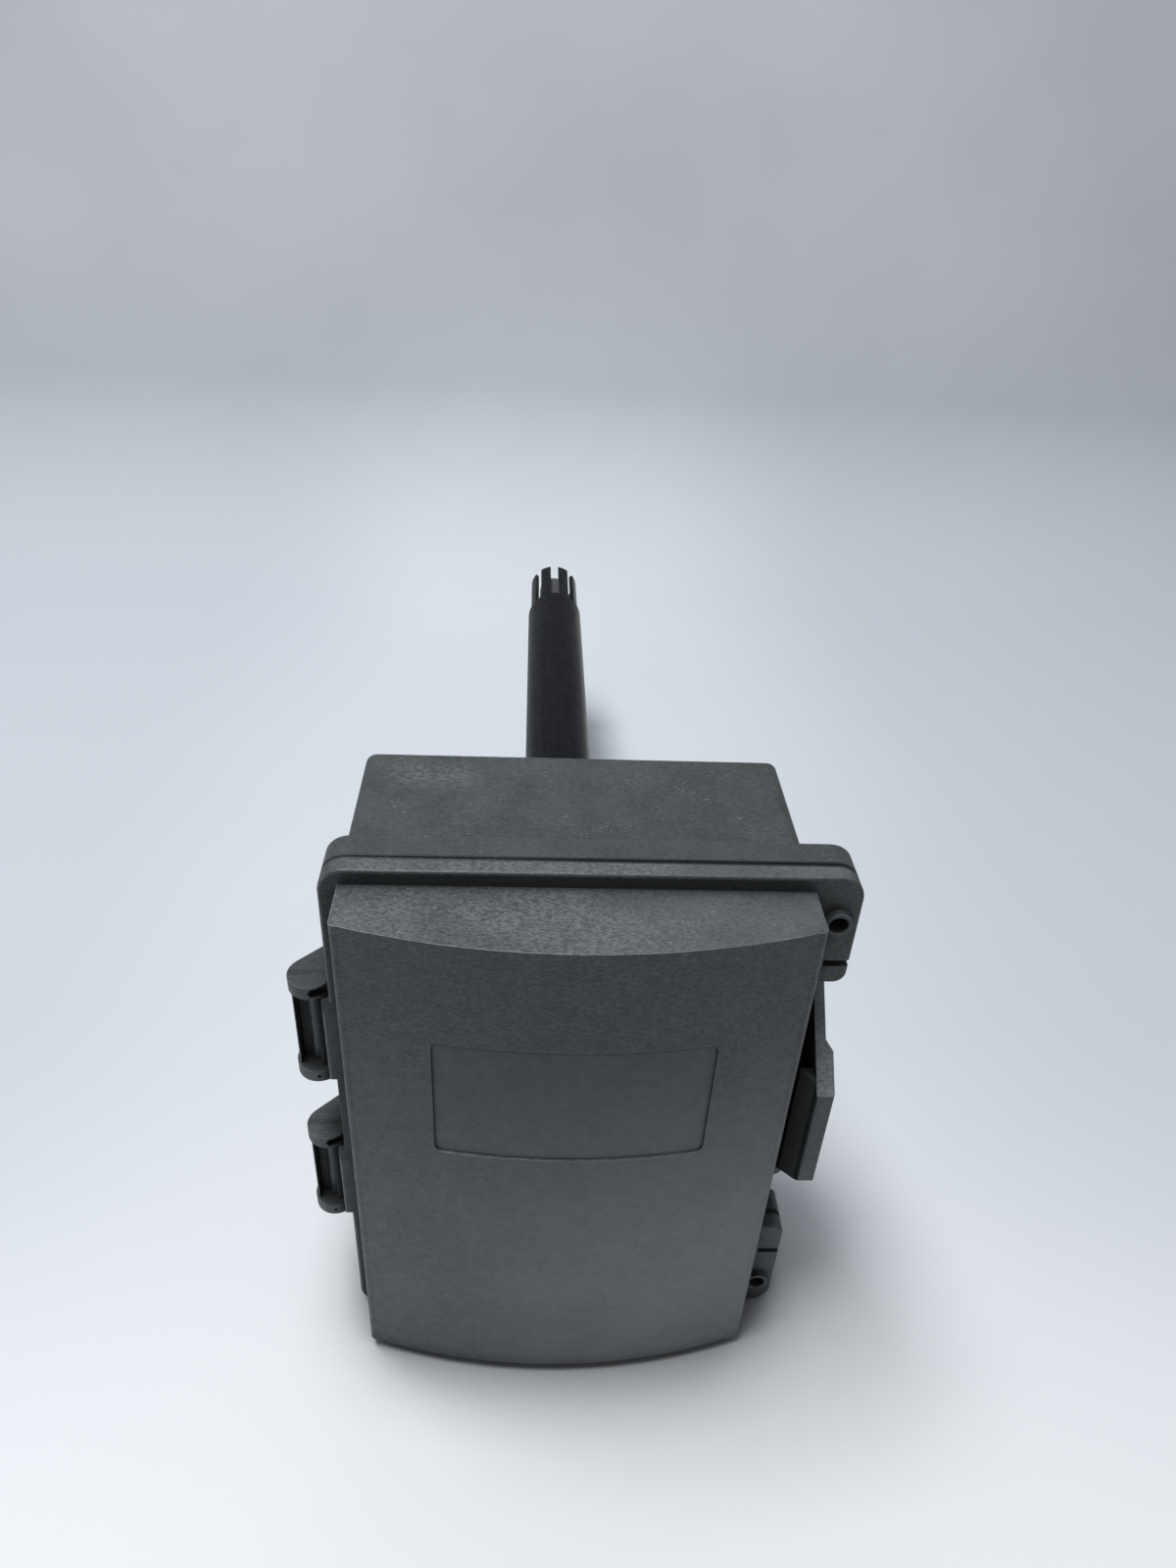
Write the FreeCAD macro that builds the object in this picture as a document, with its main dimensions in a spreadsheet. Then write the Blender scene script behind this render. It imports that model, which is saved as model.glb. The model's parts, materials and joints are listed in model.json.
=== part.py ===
import FreeCAD, Part
import math
import os
import Sketcher

# Duct humidity sensor: a hinged plastic case with a long probe out of its back.
# Frame: X to the right and Z up as one faces the cover, Y along the probe.
# The origin is the middle of the housing's rear face, on the probe's axis.

doc = FreeCAD.newDocument("duct_humidity_sensor")
sheet = doc.addObject("Spreadsheet::Sheet", "sizes")
vector = FreeCAD.Vector
nodes = []

# How far a cut runs past the face that it opens, and how near two places count as one
cut_past = 1.0
edge_slack = 0.1


class Size:
    """A length that keeps its number beside the sheet expression that gives it."""

    def __init__(self, text, value):
        self.text = text
        self.value = value

    def __add__(self, other):
        return Size("(%s + %s)" % (self.text, text_of(other)), self.value + number(other))

    def __radd__(self, other):
        return Size("(%s + %s)" % (text_of(other), self.text), number(other) + self.value)

    def __sub__(self, other):
        return Size("(%s - %s)" % (self.text, text_of(other)), self.value - number(other))

    def __rsub__(self, other):
        return Size("(%s - %s)" % (text_of(other), self.text), number(other) - self.value)

    def __mul__(self, other):
        return Size("(%s * %s)" % (self.text, text_of(other)), self.value * number(other))

    def __rmul__(self, other):
        return Size("(%s * %s)" % (text_of(other), self.text), number(other) * self.value)

    def __truediv__(self, other):
        return Size("(%s / %s)" % (self.text, text_of(other)), self.value / number(other))

    def __neg__(self):
        return Size("(0 - %s)" % self.text, -self.value)


def text_of(length):
    """The expression text of a Size or of a bare number."""
    if isinstance(length, Size):
        return length.text
    return repr(float(length))


def number(length):
    """The number of a Size or of a bare number."""
    if isinstance(length, Size):
        return length.value
    return float(length)


def root(length):
    """Square root of a Size."""
    return Size("sqrt(%s)" % length.text, math.sqrt(length.value))


def size(alias, value, meaning):
    """Write one driving dimension into the sheet and hand it back as a Size."""
    row = size.rows + 1
    size.rows = row
    sheet.set("A%d" % row, meaning)
    sheet.set("B%d" % row, str(value))
    sheet.setAlias("B%d" % row, alias)
    return Size("sizes." + alias, value)


size.rows = 0

# Case and cover
case_wide = size("case_wide", 94.0, "raised part of the cover, side to side")
case_high = size("case_high", 138.1, "raised part of the cover, top to bottom")
cover_raise = size("cover_raise", 12.1, "flange front to the corner line of the raised part")
cover_bulge = size("cover_bulge", 6.8, "rise of the curved front above its corner line")
front_flat = size("front_flat", 1.6, "flat strip beside the curved front")
cover_flange = size("cover_flange", 4.4, "thickness of the cover's flange")
parting_gap = size("parting_gap", 0.5, "gap between the two flanges")
base_flange = size("base_flange", 7.3, "thickness of the housing's flange")
base_deep = size("base_deep", 35.3, "housing behind its flange")
base_over = size("base_over", 0.6, "housing wall beyond the raised part, at each side")
side_margin = size("side_margin", 4.1, "flange beyond the raised part, left and right")
end_margin = size("end_margin", 3.45, "flange beyond the raised part, top and bottom")
shell_wall = size("shell_wall", 2.6, "wall of housing and cover")
back_wall = size("back_wall", 3.0, "rear wall of the housing")
flange_corner = size("flange_corner", 5.5, "corner radius of the flanges")
raised_corner = size("raised_corner", 1.2, "edge radius down the sides of the raised part")
flange_edge = size("flange_edge", 0.8, "rounding of the flange edges")
body_corner = size("body_corner", 3.0, "corner radius of the housing")
cavity_corner = size("cavity_corner", 2.0, "corner radius of the housing's inside")
cover_sink = size("cover_sink", 1.0, "raised part let into the cover's flange")
root_depth = size("root_depth", 0.6, "hinge brackets let into the housing")

# Screw lugs on the right
lug_reach = size("lug_reach", 5.95, "lugs beyond the right flange edge")
upper_lug = size("upper_lug", 28.0, "upper lug, down from the flange's top")
lower_lug = size("lower_lug", 32.3, "lower lug, up from the flange's bottom")
lug_round = size("lug_round", 2.8, "corner radius at the lugs' inner ends")
lug_hole_in = size("lug_hole_in", 4.65, "screw hole in from the lug's edge")
lug_hole_end = size("lug_hole_end", 10.7, "screw hole in from the flange's end")
lug_hole = size("lug_hole", 2.05, "radius of the screw hole")
lug_boss = size("lug_boss", 2.85, "radius of the ring round the screw hole")
lug_boss_rise = size("lug_boss_rise", 1.6, "ring above the cover's flange")
slot_from_end = size("slot_from_end", 23.3, "slot in the lug, in from the flange's end")
slot_high = size("slot_high", 1.8, "height of the slot in the lug")
slot_reach = size("slot_reach", 5.6, "slot in from the lug's edge")
insert_outer = size("insert_outer", 3.0, "radius of the brass insert")
insert_inner = size("insert_inner", 1.75, "bore radius of the brass insert")

# Hinges on the left
hinge_out = size("hinge_out", 4.2, "hinge axis beyond the left flange edge")
hinge_nose = size("hinge_nose", 4.85, "nose radius of the hinge bracket")
hinge_high = size("hinge_high", 28.1, "height of one hinge bracket")
hinge_plate = size("hinge_plate", 3.2, "thickness of the bracket's end plates")
hinge_pitch = size("hinge_pitch", 47.6, "distance between the two hinges")
hinge_middle = size("hinge_middle", 3.6, "middle of the two hinges above the probe's axis")
hinge_room = size("hinge_room", 3.7, "radius of the space round the hinge pin")
hinge_window = size("hinge_window", 3.6, "window edge left of the hinge axis")
hinge_relief = size("hinge_relief", 5.2, "radius cleared in the cover round the end plates")
hook_radius = size("hook_radius", 3.2, "outer radius of the cover's hinge hook")
hook_arm = size("hook_arm", 1.9, "front of the hook's arm ahead of the hinge axis")
leaf_left = size("leaf_left", 1.5, "hinge leaf beyond the flange edge")
leaf_rise = size("leaf_rise", 0.9, "hinge leaf above the cover's flange")
leaf_wide = size("leaf_wide", 5.2, "width of the hinge leaf")
leaf_foot = size("leaf_foot", 0.9, "foot of the hinge leaf above the bracket's lower end")
leaf_slope_high = size("leaf_slope_high", 3.0, "height of the slope at the leaf's upper end")
leaf_slope_deep = size("leaf_slope_deep", 1.4, "depth of the slope at the leaf's upper end")
pin_radius = size("pin_radius", 1.25, "radius of the hinge and latch pins")
pin_play = size("pin_play", 0.05, "running clearance round a pin")
pin_cap = size("pin_cap", 1.0, "plate left above a blind pin hole")
gap_clear = size("gap_clear", 0.35, "clearance between parts that pass each other")
hinge_set = size("hinge_set", 0.2, "hinge axis behind the back of the cover's flange")
bracket_front = size("bracket_front", 0.4, "bracket's front corner beyond the flange edge")
guard_in = size("guard_in", 0.5, "bracket's outer guard inside its end plates, all round")
notch_high = size("notch_high", 2.2, "height of the notch in each bracket's upper end plate")
notch_floor = size("notch_floor", 2.2, "floor of the notch ahead of the hinge axis")
dimple_radius = size("dimple_radius", 0.45, "radius of the dimple in each end plate")
dimple_deep = size("dimple_deep", 1.0, "depth of the dimples")
dimple_side = size("dimple_side", 0.5, "dimples right of the hinge axis")
leaf_round = size("leaf_round", 0.8, "rounding of the hinge leaf")
arm_back = size("arm_back", 0.2, "rear of the hook's arm ahead of the hinge axis")
arm_root = size("arm_root", 1.5, "hook's arm let into the cover's flange")
hook_mouth = size("hook_mouth", 1.0, "open side of the hook, right of the hinge axis")
hook_open = size("hook_open", 0.2, "open side of the hook, behind the hinge axis")

# Latch on the right
latch_middle = size("latch_middle", 2.2, "middle of the latch above the probe's axis")
latch_front = size("latch_front", 29.0, "height of the latch's front edge")
latch_slant = size("latch_slant", 19.4, "depth and rise of the latch's slanted edges")
latch_pivot_out = size("latch_pivot_out", 3.8, "latch axis beyond the right flange edge")
latch_pivot_back = size("latch_pivot_back", 3.7, "latch axis behind the housing's flange")
latch_barrel = size("latch_barrel", 3.1, "radius of the latch's barrel")
latch_web = size("latch_web", 2.4, "thickness of the latch's plate")
latch_grip = size("latch_grip", 4.0, "thickness of the latch's grip")
latch_grip_deep = size("latch_grip_deep", 7.0, "depth of the grip from the front edge")
latch_grip_blend = size("latch_grip_blend", 1.8, "slope between grip and plate")
latch_in = size("latch_in", 0.5, "inner face of the latch inside its axis")
latch_tip = size("latch_tip", 0.3, "hook tip outside the flange edge at rest")
latch_hook_gap = size("latch_hook_gap", 0.7, "hook ahead of the cover's flange")
latch_hook_nose = size("latch_hook_nose", 0.8, "flat of the hook's tip")
latch_hook_root = size("latch_hook_root", 3.8, "depth of the hook at its root")
latch_hook_long = size("latch_hook_long", 34.0, "length of the hook")
latch_rib_rise = size("latch_rib_rise", 1.2, "ribs on the latch's inner face")
latch_rib_thick = size("latch_rib_thick", 1.6, "thickness of the ribs")
latch_rib_out = size("latch_rib_out", 11.0, "ribs from the middle of the latch")
latch_land = size("latch_land", 2.3, "latch's front edge ahead of its hook")
latch_round = size("latch_round", 0.5, "rounding of the latch's front edges")
latch_rib_in = size("latch_rib_in", 0.5, "ribs let into the hook")
ear_plate = size("ear_plate", 3.2, "thickness of the latch ears")
ear_nose = size("ear_nose", 3.9, "nose radius of the latch ears")
ear_behind = size("ear_behind", 1.0, "front of the ears behind the flange's rear face")
ear_root = size("ear_root", 1.0, "ears let into the housing's side")
ear_in = size("ear_in", 0.5, "front corner of the ears inside the flange edge")
ear_slope = size("ear_slope", 3.5, "rear slope of the ears")

# Label recess in the cover
label_wide = size("label_wide", 57.0, "width of the shallow recess")
label_high = size("label_high", 32.7, "height of the shallow recess")
label_up = size("label_up", 26.8, "middle of the recess above the probe's axis")
label_deep = size("label_deep", 0.45, "depth of the recess")
label_corner = size("label_corner", 2.0, "corner radius of the recess")

# Seal between housing and cover
groove_in = size("groove_in", 2.0, "seal groove in from the flange edge")
groove_wide = size("groove_wide", 2.2, "width of the seal groove")
groove_deep = size("groove_deep", 1.8, "depth of the seal groove")
seal_proud = size("seal_proud", 0.35, "seal above the housing's flange")
seal_side = size("seal_side", 0.1, "seal clear of each groove wall")

# Probe
probe_radius = size("probe_radius", 11.1, "outer radius of the probe tube")
probe_wall = size("probe_wall", 2.0, "wall of the probe tube")
probe_long = size("probe_long", 254.0, "rear face to the probe's tip")
probe_inside = size("probe_inside", 11.0, "probe tube inside the housing, from the rear face")
crown_long = size("crown_long", 34.0, "length of the slimmer slotted end")
crown_radius = size("crown_radius", 10.1, "outer radius of the slotted end")
crown_wall = size("crown_wall", 2.0, "wall of the slotted end")
slot_long = size("slot_long", 30.0, "length of the open slots in the end")
crown_slot = size("crown_slot", 3.3, "width of the open slots")
crown_slots = 8
crown_lip = size("crown_lip", 0.8, "full-size ring where the slimmer end begins")
crown_slope = size("crown_slope", 1.4, "length of the slope to the slimmer end")
prong_round = size("prong_round", 1.5, "length of the slope at the prongs' tips")
prong_bevel = size("prong_bevel", 0.9, "width of the slope at the prongs' tips")
crown_sleeve = size("crown_sleeve", 12.0, "crown inside the tube")
collar_radius = size("collar_radius", 16.0, "radius of the probe's collar, which lies in a recess")
collar_thick = size("collar_thick", 2.5, "thickness of the probe's collar")
socket_radius = size("socket_radius", 18.0, "radius of the thick ring round the probe hole")
socket_rise = size("socket_rise", 2.0, "thick ring above the rear wall")
probe_play = size("probe_play", 0.1, "clearance round the tube in the rear wall")
washer_radius = size("washer_radius", 15.0, "outer radius of the probe's sealing washer")
washer_thick = size("washer_thick", 1.2, "thickness of the sealing washer")
nut_across = size("nut_across", 28.0, "locknut across its flats")
nut_thick = size("nut_thick", 4.5, "thickness of the locknut")
duct_seal_radius = size("duct_seal_radius", 29.0, "outer radius of the duct seal")
duct_seal_thick = size("duct_seal_thick", 4.0, "thickness of the duct seal")
duct_seal_play = size("duct_seal_play", 1.4, "duct seal clear of the tube")

# Sensing end
filter_radius = size("filter_radius", 6.2, "outer radius of the filter cap")
filter_wall = size("filter_wall", 0.9, "wall of the filter cap")
filter_back = size("filter_back", 4.0, "filter tip in from the probe's tip")
filter_long = size("filter_long", 24.0, "length of the filter cap")
filter_nose = size("filter_nose", 1.5, "bevel of the filter's tip")
plug_thick = size("plug_thick", 5.0, "thickness of the potting disc")
plug_play = size("plug_play", 0.05, "clearance round the potting disc and the sensor board")
tip_board_wide = size("tip_board_wide", 9.0, "width of the sensor board")
tip_board_thick = size("tip_board_thick", 1.0, "thickness of the sensor board")
tip_board_long = size("tip_board_long", 26.0, "length of the sensor board")
tip_board_end = size("tip_board_end", 3.0, "sensor board in from the filter's tip")
element_wide = size("element_wide", 5.0, "side of the humidity element")
element_thick = size("element_thick", 1.4, "thickness of the humidity element")
element_in = size("element_in", 1.0, "humidity element in from the sensor board's end")
element_hole = size("element_hole", 1.25, "radius of the window in the humidity element")

# Circuit board and its pieces
board_wide = size("board_wide", 70.0, "width of the circuit board")
board_top = size("board_top", 56.0, "board's upper edge above the probe's axis")
board_bottom = size("board_bottom", 34.0, "board's lower edge below the probe's axis")
board_thick = size("board_thick", 1.6, "thickness of the circuit board")
board_stand = size("board_stand", 14.5, "height of the board's pillars")
board_inset = size("board_inset", 5.0, "board screws in from the board's edges")
board_hole = size("board_hole", 6.0, "radius of the hole for the lead")
board_corner = size("board_corner", 1.5, "corner radius of the circuit board")
board_play = size("board_play", 0.2, "screw clear of the board")
pillar_radius = size("pillar_radius", 3.4, "radius of the board's pillars")
screw_radius = size("screw_radius", 1.4, "radius of the board screws")
screw_bite = size("screw_bite", 7.0, "board screws below the board")
screw_head = size("screw_head", 2.7, "head radius of the board screws")
screw_head_high = size("screw_head_high", 1.8, "head height of the board screws")
thread_play = size("thread_play", 0.03, "screw clear of its hole")
screw_spare = size("screw_spare", 1.0, "hole beyond the screw's tip")
driver_slot = size("driver_slot", 0.8, "width of the driver slots in the board screws")
terminal_ways = 6
terminal_pitch = size("terminal_pitch", 5.08, "distance between terminals")
terminal_high = size("terminal_high", 10.0, "terminal block away from the board")
terminal_deep = size("terminal_deep", 8.2, "terminal block, top to bottom")
terminal_up = size("terminal_up", 5.0, "terminal block above the board's lower edge")
terminal_screw = size("terminal_screw", 1.6, "radius of the terminal screws")
terminal_well = size("terminal_well", 2.0, "radius of the screw wells")
terminal_bevel = size("terminal_bevel", 2.3, "bevel of the block's upper front edge")
terminal_chin = size("terminal_chin", 2.8, "bevel of the block's lower front edge")
well_deep = size("well_deep", 6.0, "depth of the screw wells")
terminal_screw_long = size("terminal_screw_long", 4.0, "length of the terminal screws")
terminal_slot = size("terminal_slot", 0.6, "width of the driver slots in the terminal screws")
terminal_slot_deep = size("terminal_slot_deep", 0.8, "depth of those driver slots")
wire_hole = size("wire_hole", 3.4, "side of the wire openings")
wire_deep = size("wire_deep", 6.5, "depth of the wire openings")
wire_floor = size("wire_floor", 1.2, "wire openings above the board")
clamp_side = size("clamp_side", 3.2, "side of the wire clamps")
clamp_wall = size("clamp_wall", 0.5, "wall of the wire clamps")
clamp_in = size("clamp_in", 1.0, "wire clamps in from the block's lower face")
clamp_long = size("clamp_long", 4.9, "length of the wire clamps")
capacitor_radius = size("capacitor_radius", 4.0, "radius of the capacitors")
capacitor_high = size("capacitor_high", 9.0, "height of the capacitors")
capacitor_round = size("capacitor_round", 0.5, "bevel of the capacitors' tops")
capacitor_edge = size("capacitor_edge", 9.8, "right capacitor in from the board's right edge")
capacitor_pitch = size("capacitor_pitch", 9.8, "distance between the capacitors")
capacitor_drop = size("capacitor_drop", 28.0, "capacitors below the board's upper edge")
chip_side = size("chip_side", 9.0, "side of the control chip")
chip_thick = size("chip_thick", 1.4, "thickness of the control chip")
chip_bevel = size("chip_bevel", 0.3, "bevel of the control chip")
chip_left = size("chip_left", 8.4, "control chip's left edge left of the probe's axis")
chip_drop = size("chip_drop", 19.0, "control chip's lower edge below the board's upper edge")
regulator_wide = size("regulator_wide", 10.0, "width of the voltage regulator")
regulator_high = size("regulator_high", 9.0, "voltage regulator, top to bottom")
regulator_thick = size("regulator_thick", 4.4, "thickness of the voltage regulator")
regulator_bevel = size("regulator_bevel", 0.5, "bevel of the voltage regulator")
regulator_right = size("regulator_right", 14.0, "voltage regulator right of the probe's axis")
regulator_up = size("regulator_up", 22.0, "voltage regulator above the board's lower edge")
jumper_columns = 3
jumper_rows = 2
jumper_pitch = size("jumper_pitch", 2.54, "distance between the jumper pins")
jumper_pin = size("jumper_pin", 0.64, "side of the jumper pins")
jumper_rise = size("jumper_rise", 8.5, "jumper pins away from the board")
jumper_pin_long = size("jumper_pin_long", 7.0, "length of the jumper pins")
jumper_edge = size("jumper_edge", 8.5, "jumper strip in from the board's left edge")
jumper_drop = size("jumper_drop", 41.6, "jumper strip's lower edge below the board's upper edge")
header_wide = size("header_wide", 12.5, "width of the sensor socket")
header_high = size("header_high", 6.0, "sensor socket, top to bottom")
header_deep = size("header_deep", 5.5, "sensor socket away from the board")
header_up = size("header_up", 12.5, "lower face of the socket above the probe's axis")
header_wall = size("header_wall", 0.8, "wall of the sensor socket")
header_floor = size("header_floor", 1.0, "floor of the sensor socket")
plug_fit = size("plug_fit", 0.1, "lead plug clear of the socket's walls")
plug_short = size("plug_short", 0.5, "lead plug short of the socket's floor")
plug_lip = size("plug_lip", 0.2, "gap between the plug's grip and the socket")
lead_radius = size("lead_radius", 1.6, "radius of the sensor lead")
lead_bend = size("lead_bend", 8.0, "bend radius of the sensor lead")

# Fixing holes and cable entry
mount_hole = size("mount_hole", 2.25, "radius of the duct screw holes")
mount_wide = size("mount_wide", 76.0, "duct screw holes, side to side")
mount_high = size("mount_high", 122.0, "duct screw holes, top to bottom")
mount_collar = size("mount_collar", 4.6, "radius of the collar round a duct screw hole")
mount_collar_rise = size("mount_collar_rise", 1.5, "collar above the rear wall")
entry_hole = size("entry_hole", 10.2, "radius of the cable entry")
entry_boss = size("entry_boss", 14.0, "radius of the ring round the cable entry")
entry_rise = size("entry_rise", 3.4, "ring above the bottom wall, inside")
entry_forward = size("entry_forward", 20.0, "cable entry ahead of the rear face")

# Places worked out from the sizes
half_wide = case_wide / 2
half_high = case_high / 2
flange_side = half_wide + side_margin
flange_end = half_high + end_margin
lug_edge = flange_side + lug_reach
body_side = half_wide + base_over
body_end = half_high + base_over / 2
parting = base_deep + base_flange
cover_back = parting + parting_gap
flange_front = cover_back + cover_flange
corner_line = flange_front + cover_raise
cavity_side = body_side - shell_wall
cavity_end = body_end - shell_wall
hinge_x = -(flange_side + hinge_out)
hinge_y = -(cover_back - hinge_set)
latch_x = flange_side + latch_pivot_out
latch_y = -(base_deep - latch_pivot_back)
latch_half = latch_front / 2 + latch_slant
latch_inner = latch_x - latch_in
lug_hole_x = lug_edge - lug_hole_in
lug_hole_z = flange_end - lug_hole_end
probe_shoulder = probe_long - crown_long
filter_tip = probe_long - filter_back
filter_start = filter_tip - filter_long
tip_board_tip = filter_tip - filter_wall - tip_board_end
board_rear = back_wall + board_stand
board_face = board_rear + board_thick
terminal_low = terminal_up - board_bottom
clamp_middle = board_face + wire_floor + wire_hole / 2


def bind(item, path, length):
    """Tie one property of an object to the sheet."""
    item.setExpression(path, text_of(length))


def place(item, x, y, z):
    """Tie an object's place to the sheet, leaving its rotation alone."""
    bind(item, "Placement.Base.x", x)
    bind(item, "Placement.Base.y", y)
    bind(item, "Placement.Base.z", z)


def new_body(name):
    """A body for one sub-part."""
    body = doc.addObject("PartDesign::Body", name)
    body.Label = name
    nodes.append(body)
    return body


def add_box(body, name, x, y, z, wide, deep, high, kind="Additive"):
    """A box in a body, from its lowest corner."""
    box = body.newObject("PartDesign::%sBox" % kind, name)
    bind(box, "Length", wide)
    bind(box, "Width", deep)
    bind(box, "Height", high)
    place(box, x, y, z)
    return box


def add_rod(body, name, x, y, z, radius, length, along="Z", kind="Additive"):
    """A cylinder in a body, from the middle of its lowest end."""
    turns = {"X": (vector(0, 1, 0), 90), "Y": (vector(1, 0, 0), -90), "Z": (vector(0, 0, 1), 0)}
    rod = body.newObject("PartDesign::%sCylinder" % kind, name)
    bind(rod, "Radius", radius)
    bind(rod, "Height", length)
    rod.Placement.Rotation = FreeCAD.Rotation(*turns[along])
    place(rod, x, y, z)
    return rod


def cut_box(body, name, x, y, z, wide, deep, high):
    """A box taken out of a body."""
    return add_box(body, name, x, y, z, wide, deep, high, "Subtractive")


def cut_rod(body, name, x, y, z, radius, length, along="Z"):
    """A cylinder taken out of a body."""
    return add_rod(body, name, x, y, z, radius, length, along, "Subtractive")


def pin_point(sketch, index, end, across, up):
    """Hold one point of a sketch at its place from the sketch's origin."""
    for kind, length in (("DistanceX", across), ("DistanceY", up)):
        axis = -2 if kind == "DistanceX" else -1
        if abs(number(length)) < 1e-9:
            sketch.addConstraint(Sketcher.Constraint("PointOnObject", index, end, axis))
        elif number(length) > 0:
            rule = Sketcher.Constraint(kind, -1, 1, index, end, number(length))
            place_rule(sketch, rule, length)
        else:
            rule = Sketcher.Constraint(kind, index, end, -1, 1, -number(length))
            place_rule(sketch, rule, -length)


def place_rule(sketch, rule, length):
    """Add a constraint and tie its value to the sheet."""
    index = sketch.addConstraint(rule)
    if isinstance(length, Size):
        sketch.setExpression("Constraints[%d]" % index, length.text)


def new_sketch(body, name, plane, offset):
    """A sketch on one of the body's own planes, moved along the plane's normal."""
    sketch = body.newObject("Sketcher::SketchObject", name)
    support = [item for item in body.Origin.OriginFeatures if item.Role == plane + "_Plane"][0]
    sketch.AttachmentSupport = [(support, "")]
    sketch.MapMode = "FlatFace"
    bind(sketch, "AttachmentOffset.Base.z", offset)
    return sketch


def draw(sketch, path):
    """Draw a closed outline of points, with an arc where a point says so.

    A point is (across, up). An arc is ("arc", centre across, centre up, turn) between two points,
    with turn +1 for anticlockwise and -1 for clockwise.
    """
    points = [step for step in path if step[0] != "arc"]
    first = sketch.GeometryCount
    spans = []
    for place_in_path, step in enumerate(path):
        if step[0] == "arc":
            continue
        following = path[(place_in_path + 1) % len(path)]
        spans.append(following if following[0] == "arc" else None)
    for index, start in enumerate(points):
        end = points[(index + 1) % len(points)]
        a = vector(number(start[0]), number(start[1]), 0)
        b = vector(number(end[0]), number(end[1]), 0)
        if spans[index] is None:
            sketch.addGeometry(Part.LineSegment(a, b))
            continue
        middle = vector(number(spans[index][1]), number(spans[index][2]), 0)
        if spans[index][3] < 0:
            a, b = b, a
        circle = Part.Circle(middle, vector(0, 0, 1), (a - middle).Length)
        angles = [math.atan2(end_point.y - middle.y, end_point.x - middle.x) for end_point in (a, b)]
        sketch.addGeometry(Part.ArcOfCircle(circle, angles[0], angles[1]))
    for index, start in enumerate(points):
        span = spans[index]
        before = spans[index - 1]
        head = 1 if span is None or span[3] > 0 else 2
        tail = 2 if before is None or before[3] > 0 else 1
        last = first + (index - 1) % len(points)
        sketch.addConstraint(Sketcher.Constraint("Coincident", last, tail, first + index, head))
        pin_point(sketch, first + index, head, start[0], start[1])
    for index, span in enumerate(spans):
        if span is None:
            continue
        start = points[index]
        end = points[(index + 1) % len(points)]
        level = abs(number(start[0]) - number(end[0])) > abs(number(start[1]) - number(end[1]))
        hold_centre(sketch, first + index, span, level)


def hold_centre(sketch, index, span, level):
    """Hold one coordinate of an arc's centre: its ends already fix the other."""
    kind, length, axis = ("DistanceY", span[2], -1) if level else ("DistanceX", span[1], -2)
    if abs(number(length)) < 1e-9:
        sketch.addConstraint(Sketcher.Constraint("PointOnObject", index, 3, axis))
    elif number(length) > 0:
        place_rule(sketch, Sketcher.Constraint(kind, -1, 1, index, 3, number(length)), length)
    else:
        place_rule(sketch, Sketcher.Constraint(kind, index, 3, -1, 1, -number(length)), -length)


def squared(corners):
    """An outline of level and upright lines, from corners of (across, up, radius)."""
    path = []
    for index, corner in enumerate(corners):
        before = corners[index - 1]
        after = corners[(index + 1) % len(corners)]
        if corner[2] is None:
            path.append((corner[0], corner[1]))
            continue
        come = step_towards(before, corner)
        leave = step_towards(corner, after)
        radius = corner[2]
        turn = come[0] * leave[1] - come[1] * leave[0]
        path.append((corner[0] - radius * come[0], corner[1] - radius * come[1]))
        middle = (corner[0] - radius * come[0] + radius * leave[0],
                  corner[1] - radius * come[1] + radius * leave[1])
        path.append(("arc", middle[0], middle[1], turn))
        path.append((corner[0] + radius * leave[0], corner[1] + radius * leave[1]))
    return path


def step_towards(start, end):
    """The unit step along X or Z from one corner to the next."""
    across = number(end[0]) - number(start[0])
    up = number(end[1]) - number(start[1])
    if abs(across) > abs(up):
        return (int(math.copysign(1, across)), 0)
    return (0, int(math.copysign(1, up)))


def rectangle(left, right, low, high, radius):
    """An upright rectangle with alike corners."""
    return squared([(left, low, radius), (right, low, radius), (right, high, radius), (left, high, radius)])


def pad(body, name, sketch, length, both_ways=False, reverse=False):
    """Raise a sketch into a solid."""
    feature = body.newObject("PartDesign::Pad", name)
    feature.Profile = sketch
    bind(feature, "Length", length)
    feature.Midplane = both_ways
    feature.Reversed = reverse
    doc.recompute()
    return feature


def pocket(body, name, sketch, length, both_ways=False, reverse=False):
    """Sink a sketch into a body, and make sure that it took something away."""
    before = body.Tip.Shape.Volume
    feature = body.newObject("PartDesign::Pocket", name)
    feature.Profile = sketch
    bind(feature, "Length", length)
    feature.Midplane = both_ways
    feature.Reversed = reverse
    doc.recompute()
    if feature.Shape.Volume > before - 1e-3:
        raise RuntimeError(name + " takes nothing away")
    return feature


def raise_rods(body, name, places, radius, offset, length):
    """Round posts along Y, raised towards the front from one distance ahead of the rear face."""
    sketch = new_sketch(body, name + "_outline", "XZ", offset)
    for x, z in places:
        circle(sketch, x, z, radius)
    return pad(body, name, sketch, length)


def sink_rods(body, name, places, radius, offset, length):
    """Round holes along Y, sunk towards the rear from one distance ahead of the rear face."""
    sketch = new_sketch(body, name + "_outline", "XZ", offset)
    for x, z in places:
        circle(sketch, x, z, radius)
    return pocket(body, name, sketch, length)


def spin(body, name, path):
    """Turn an outline drawn in the XY plane about the Y axis."""
    sketch = new_sketch(body, name + "_outline", "XY", 0)
    draw(sketch, path)
    feature = body.newObject("PartDesign::Revolution", name)
    feature.Profile = sketch
    feature.ReferenceAxis = (sketch, ["V_Axis"])
    feature.Angle = 360
    doc.recompute()
    return feature


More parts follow.
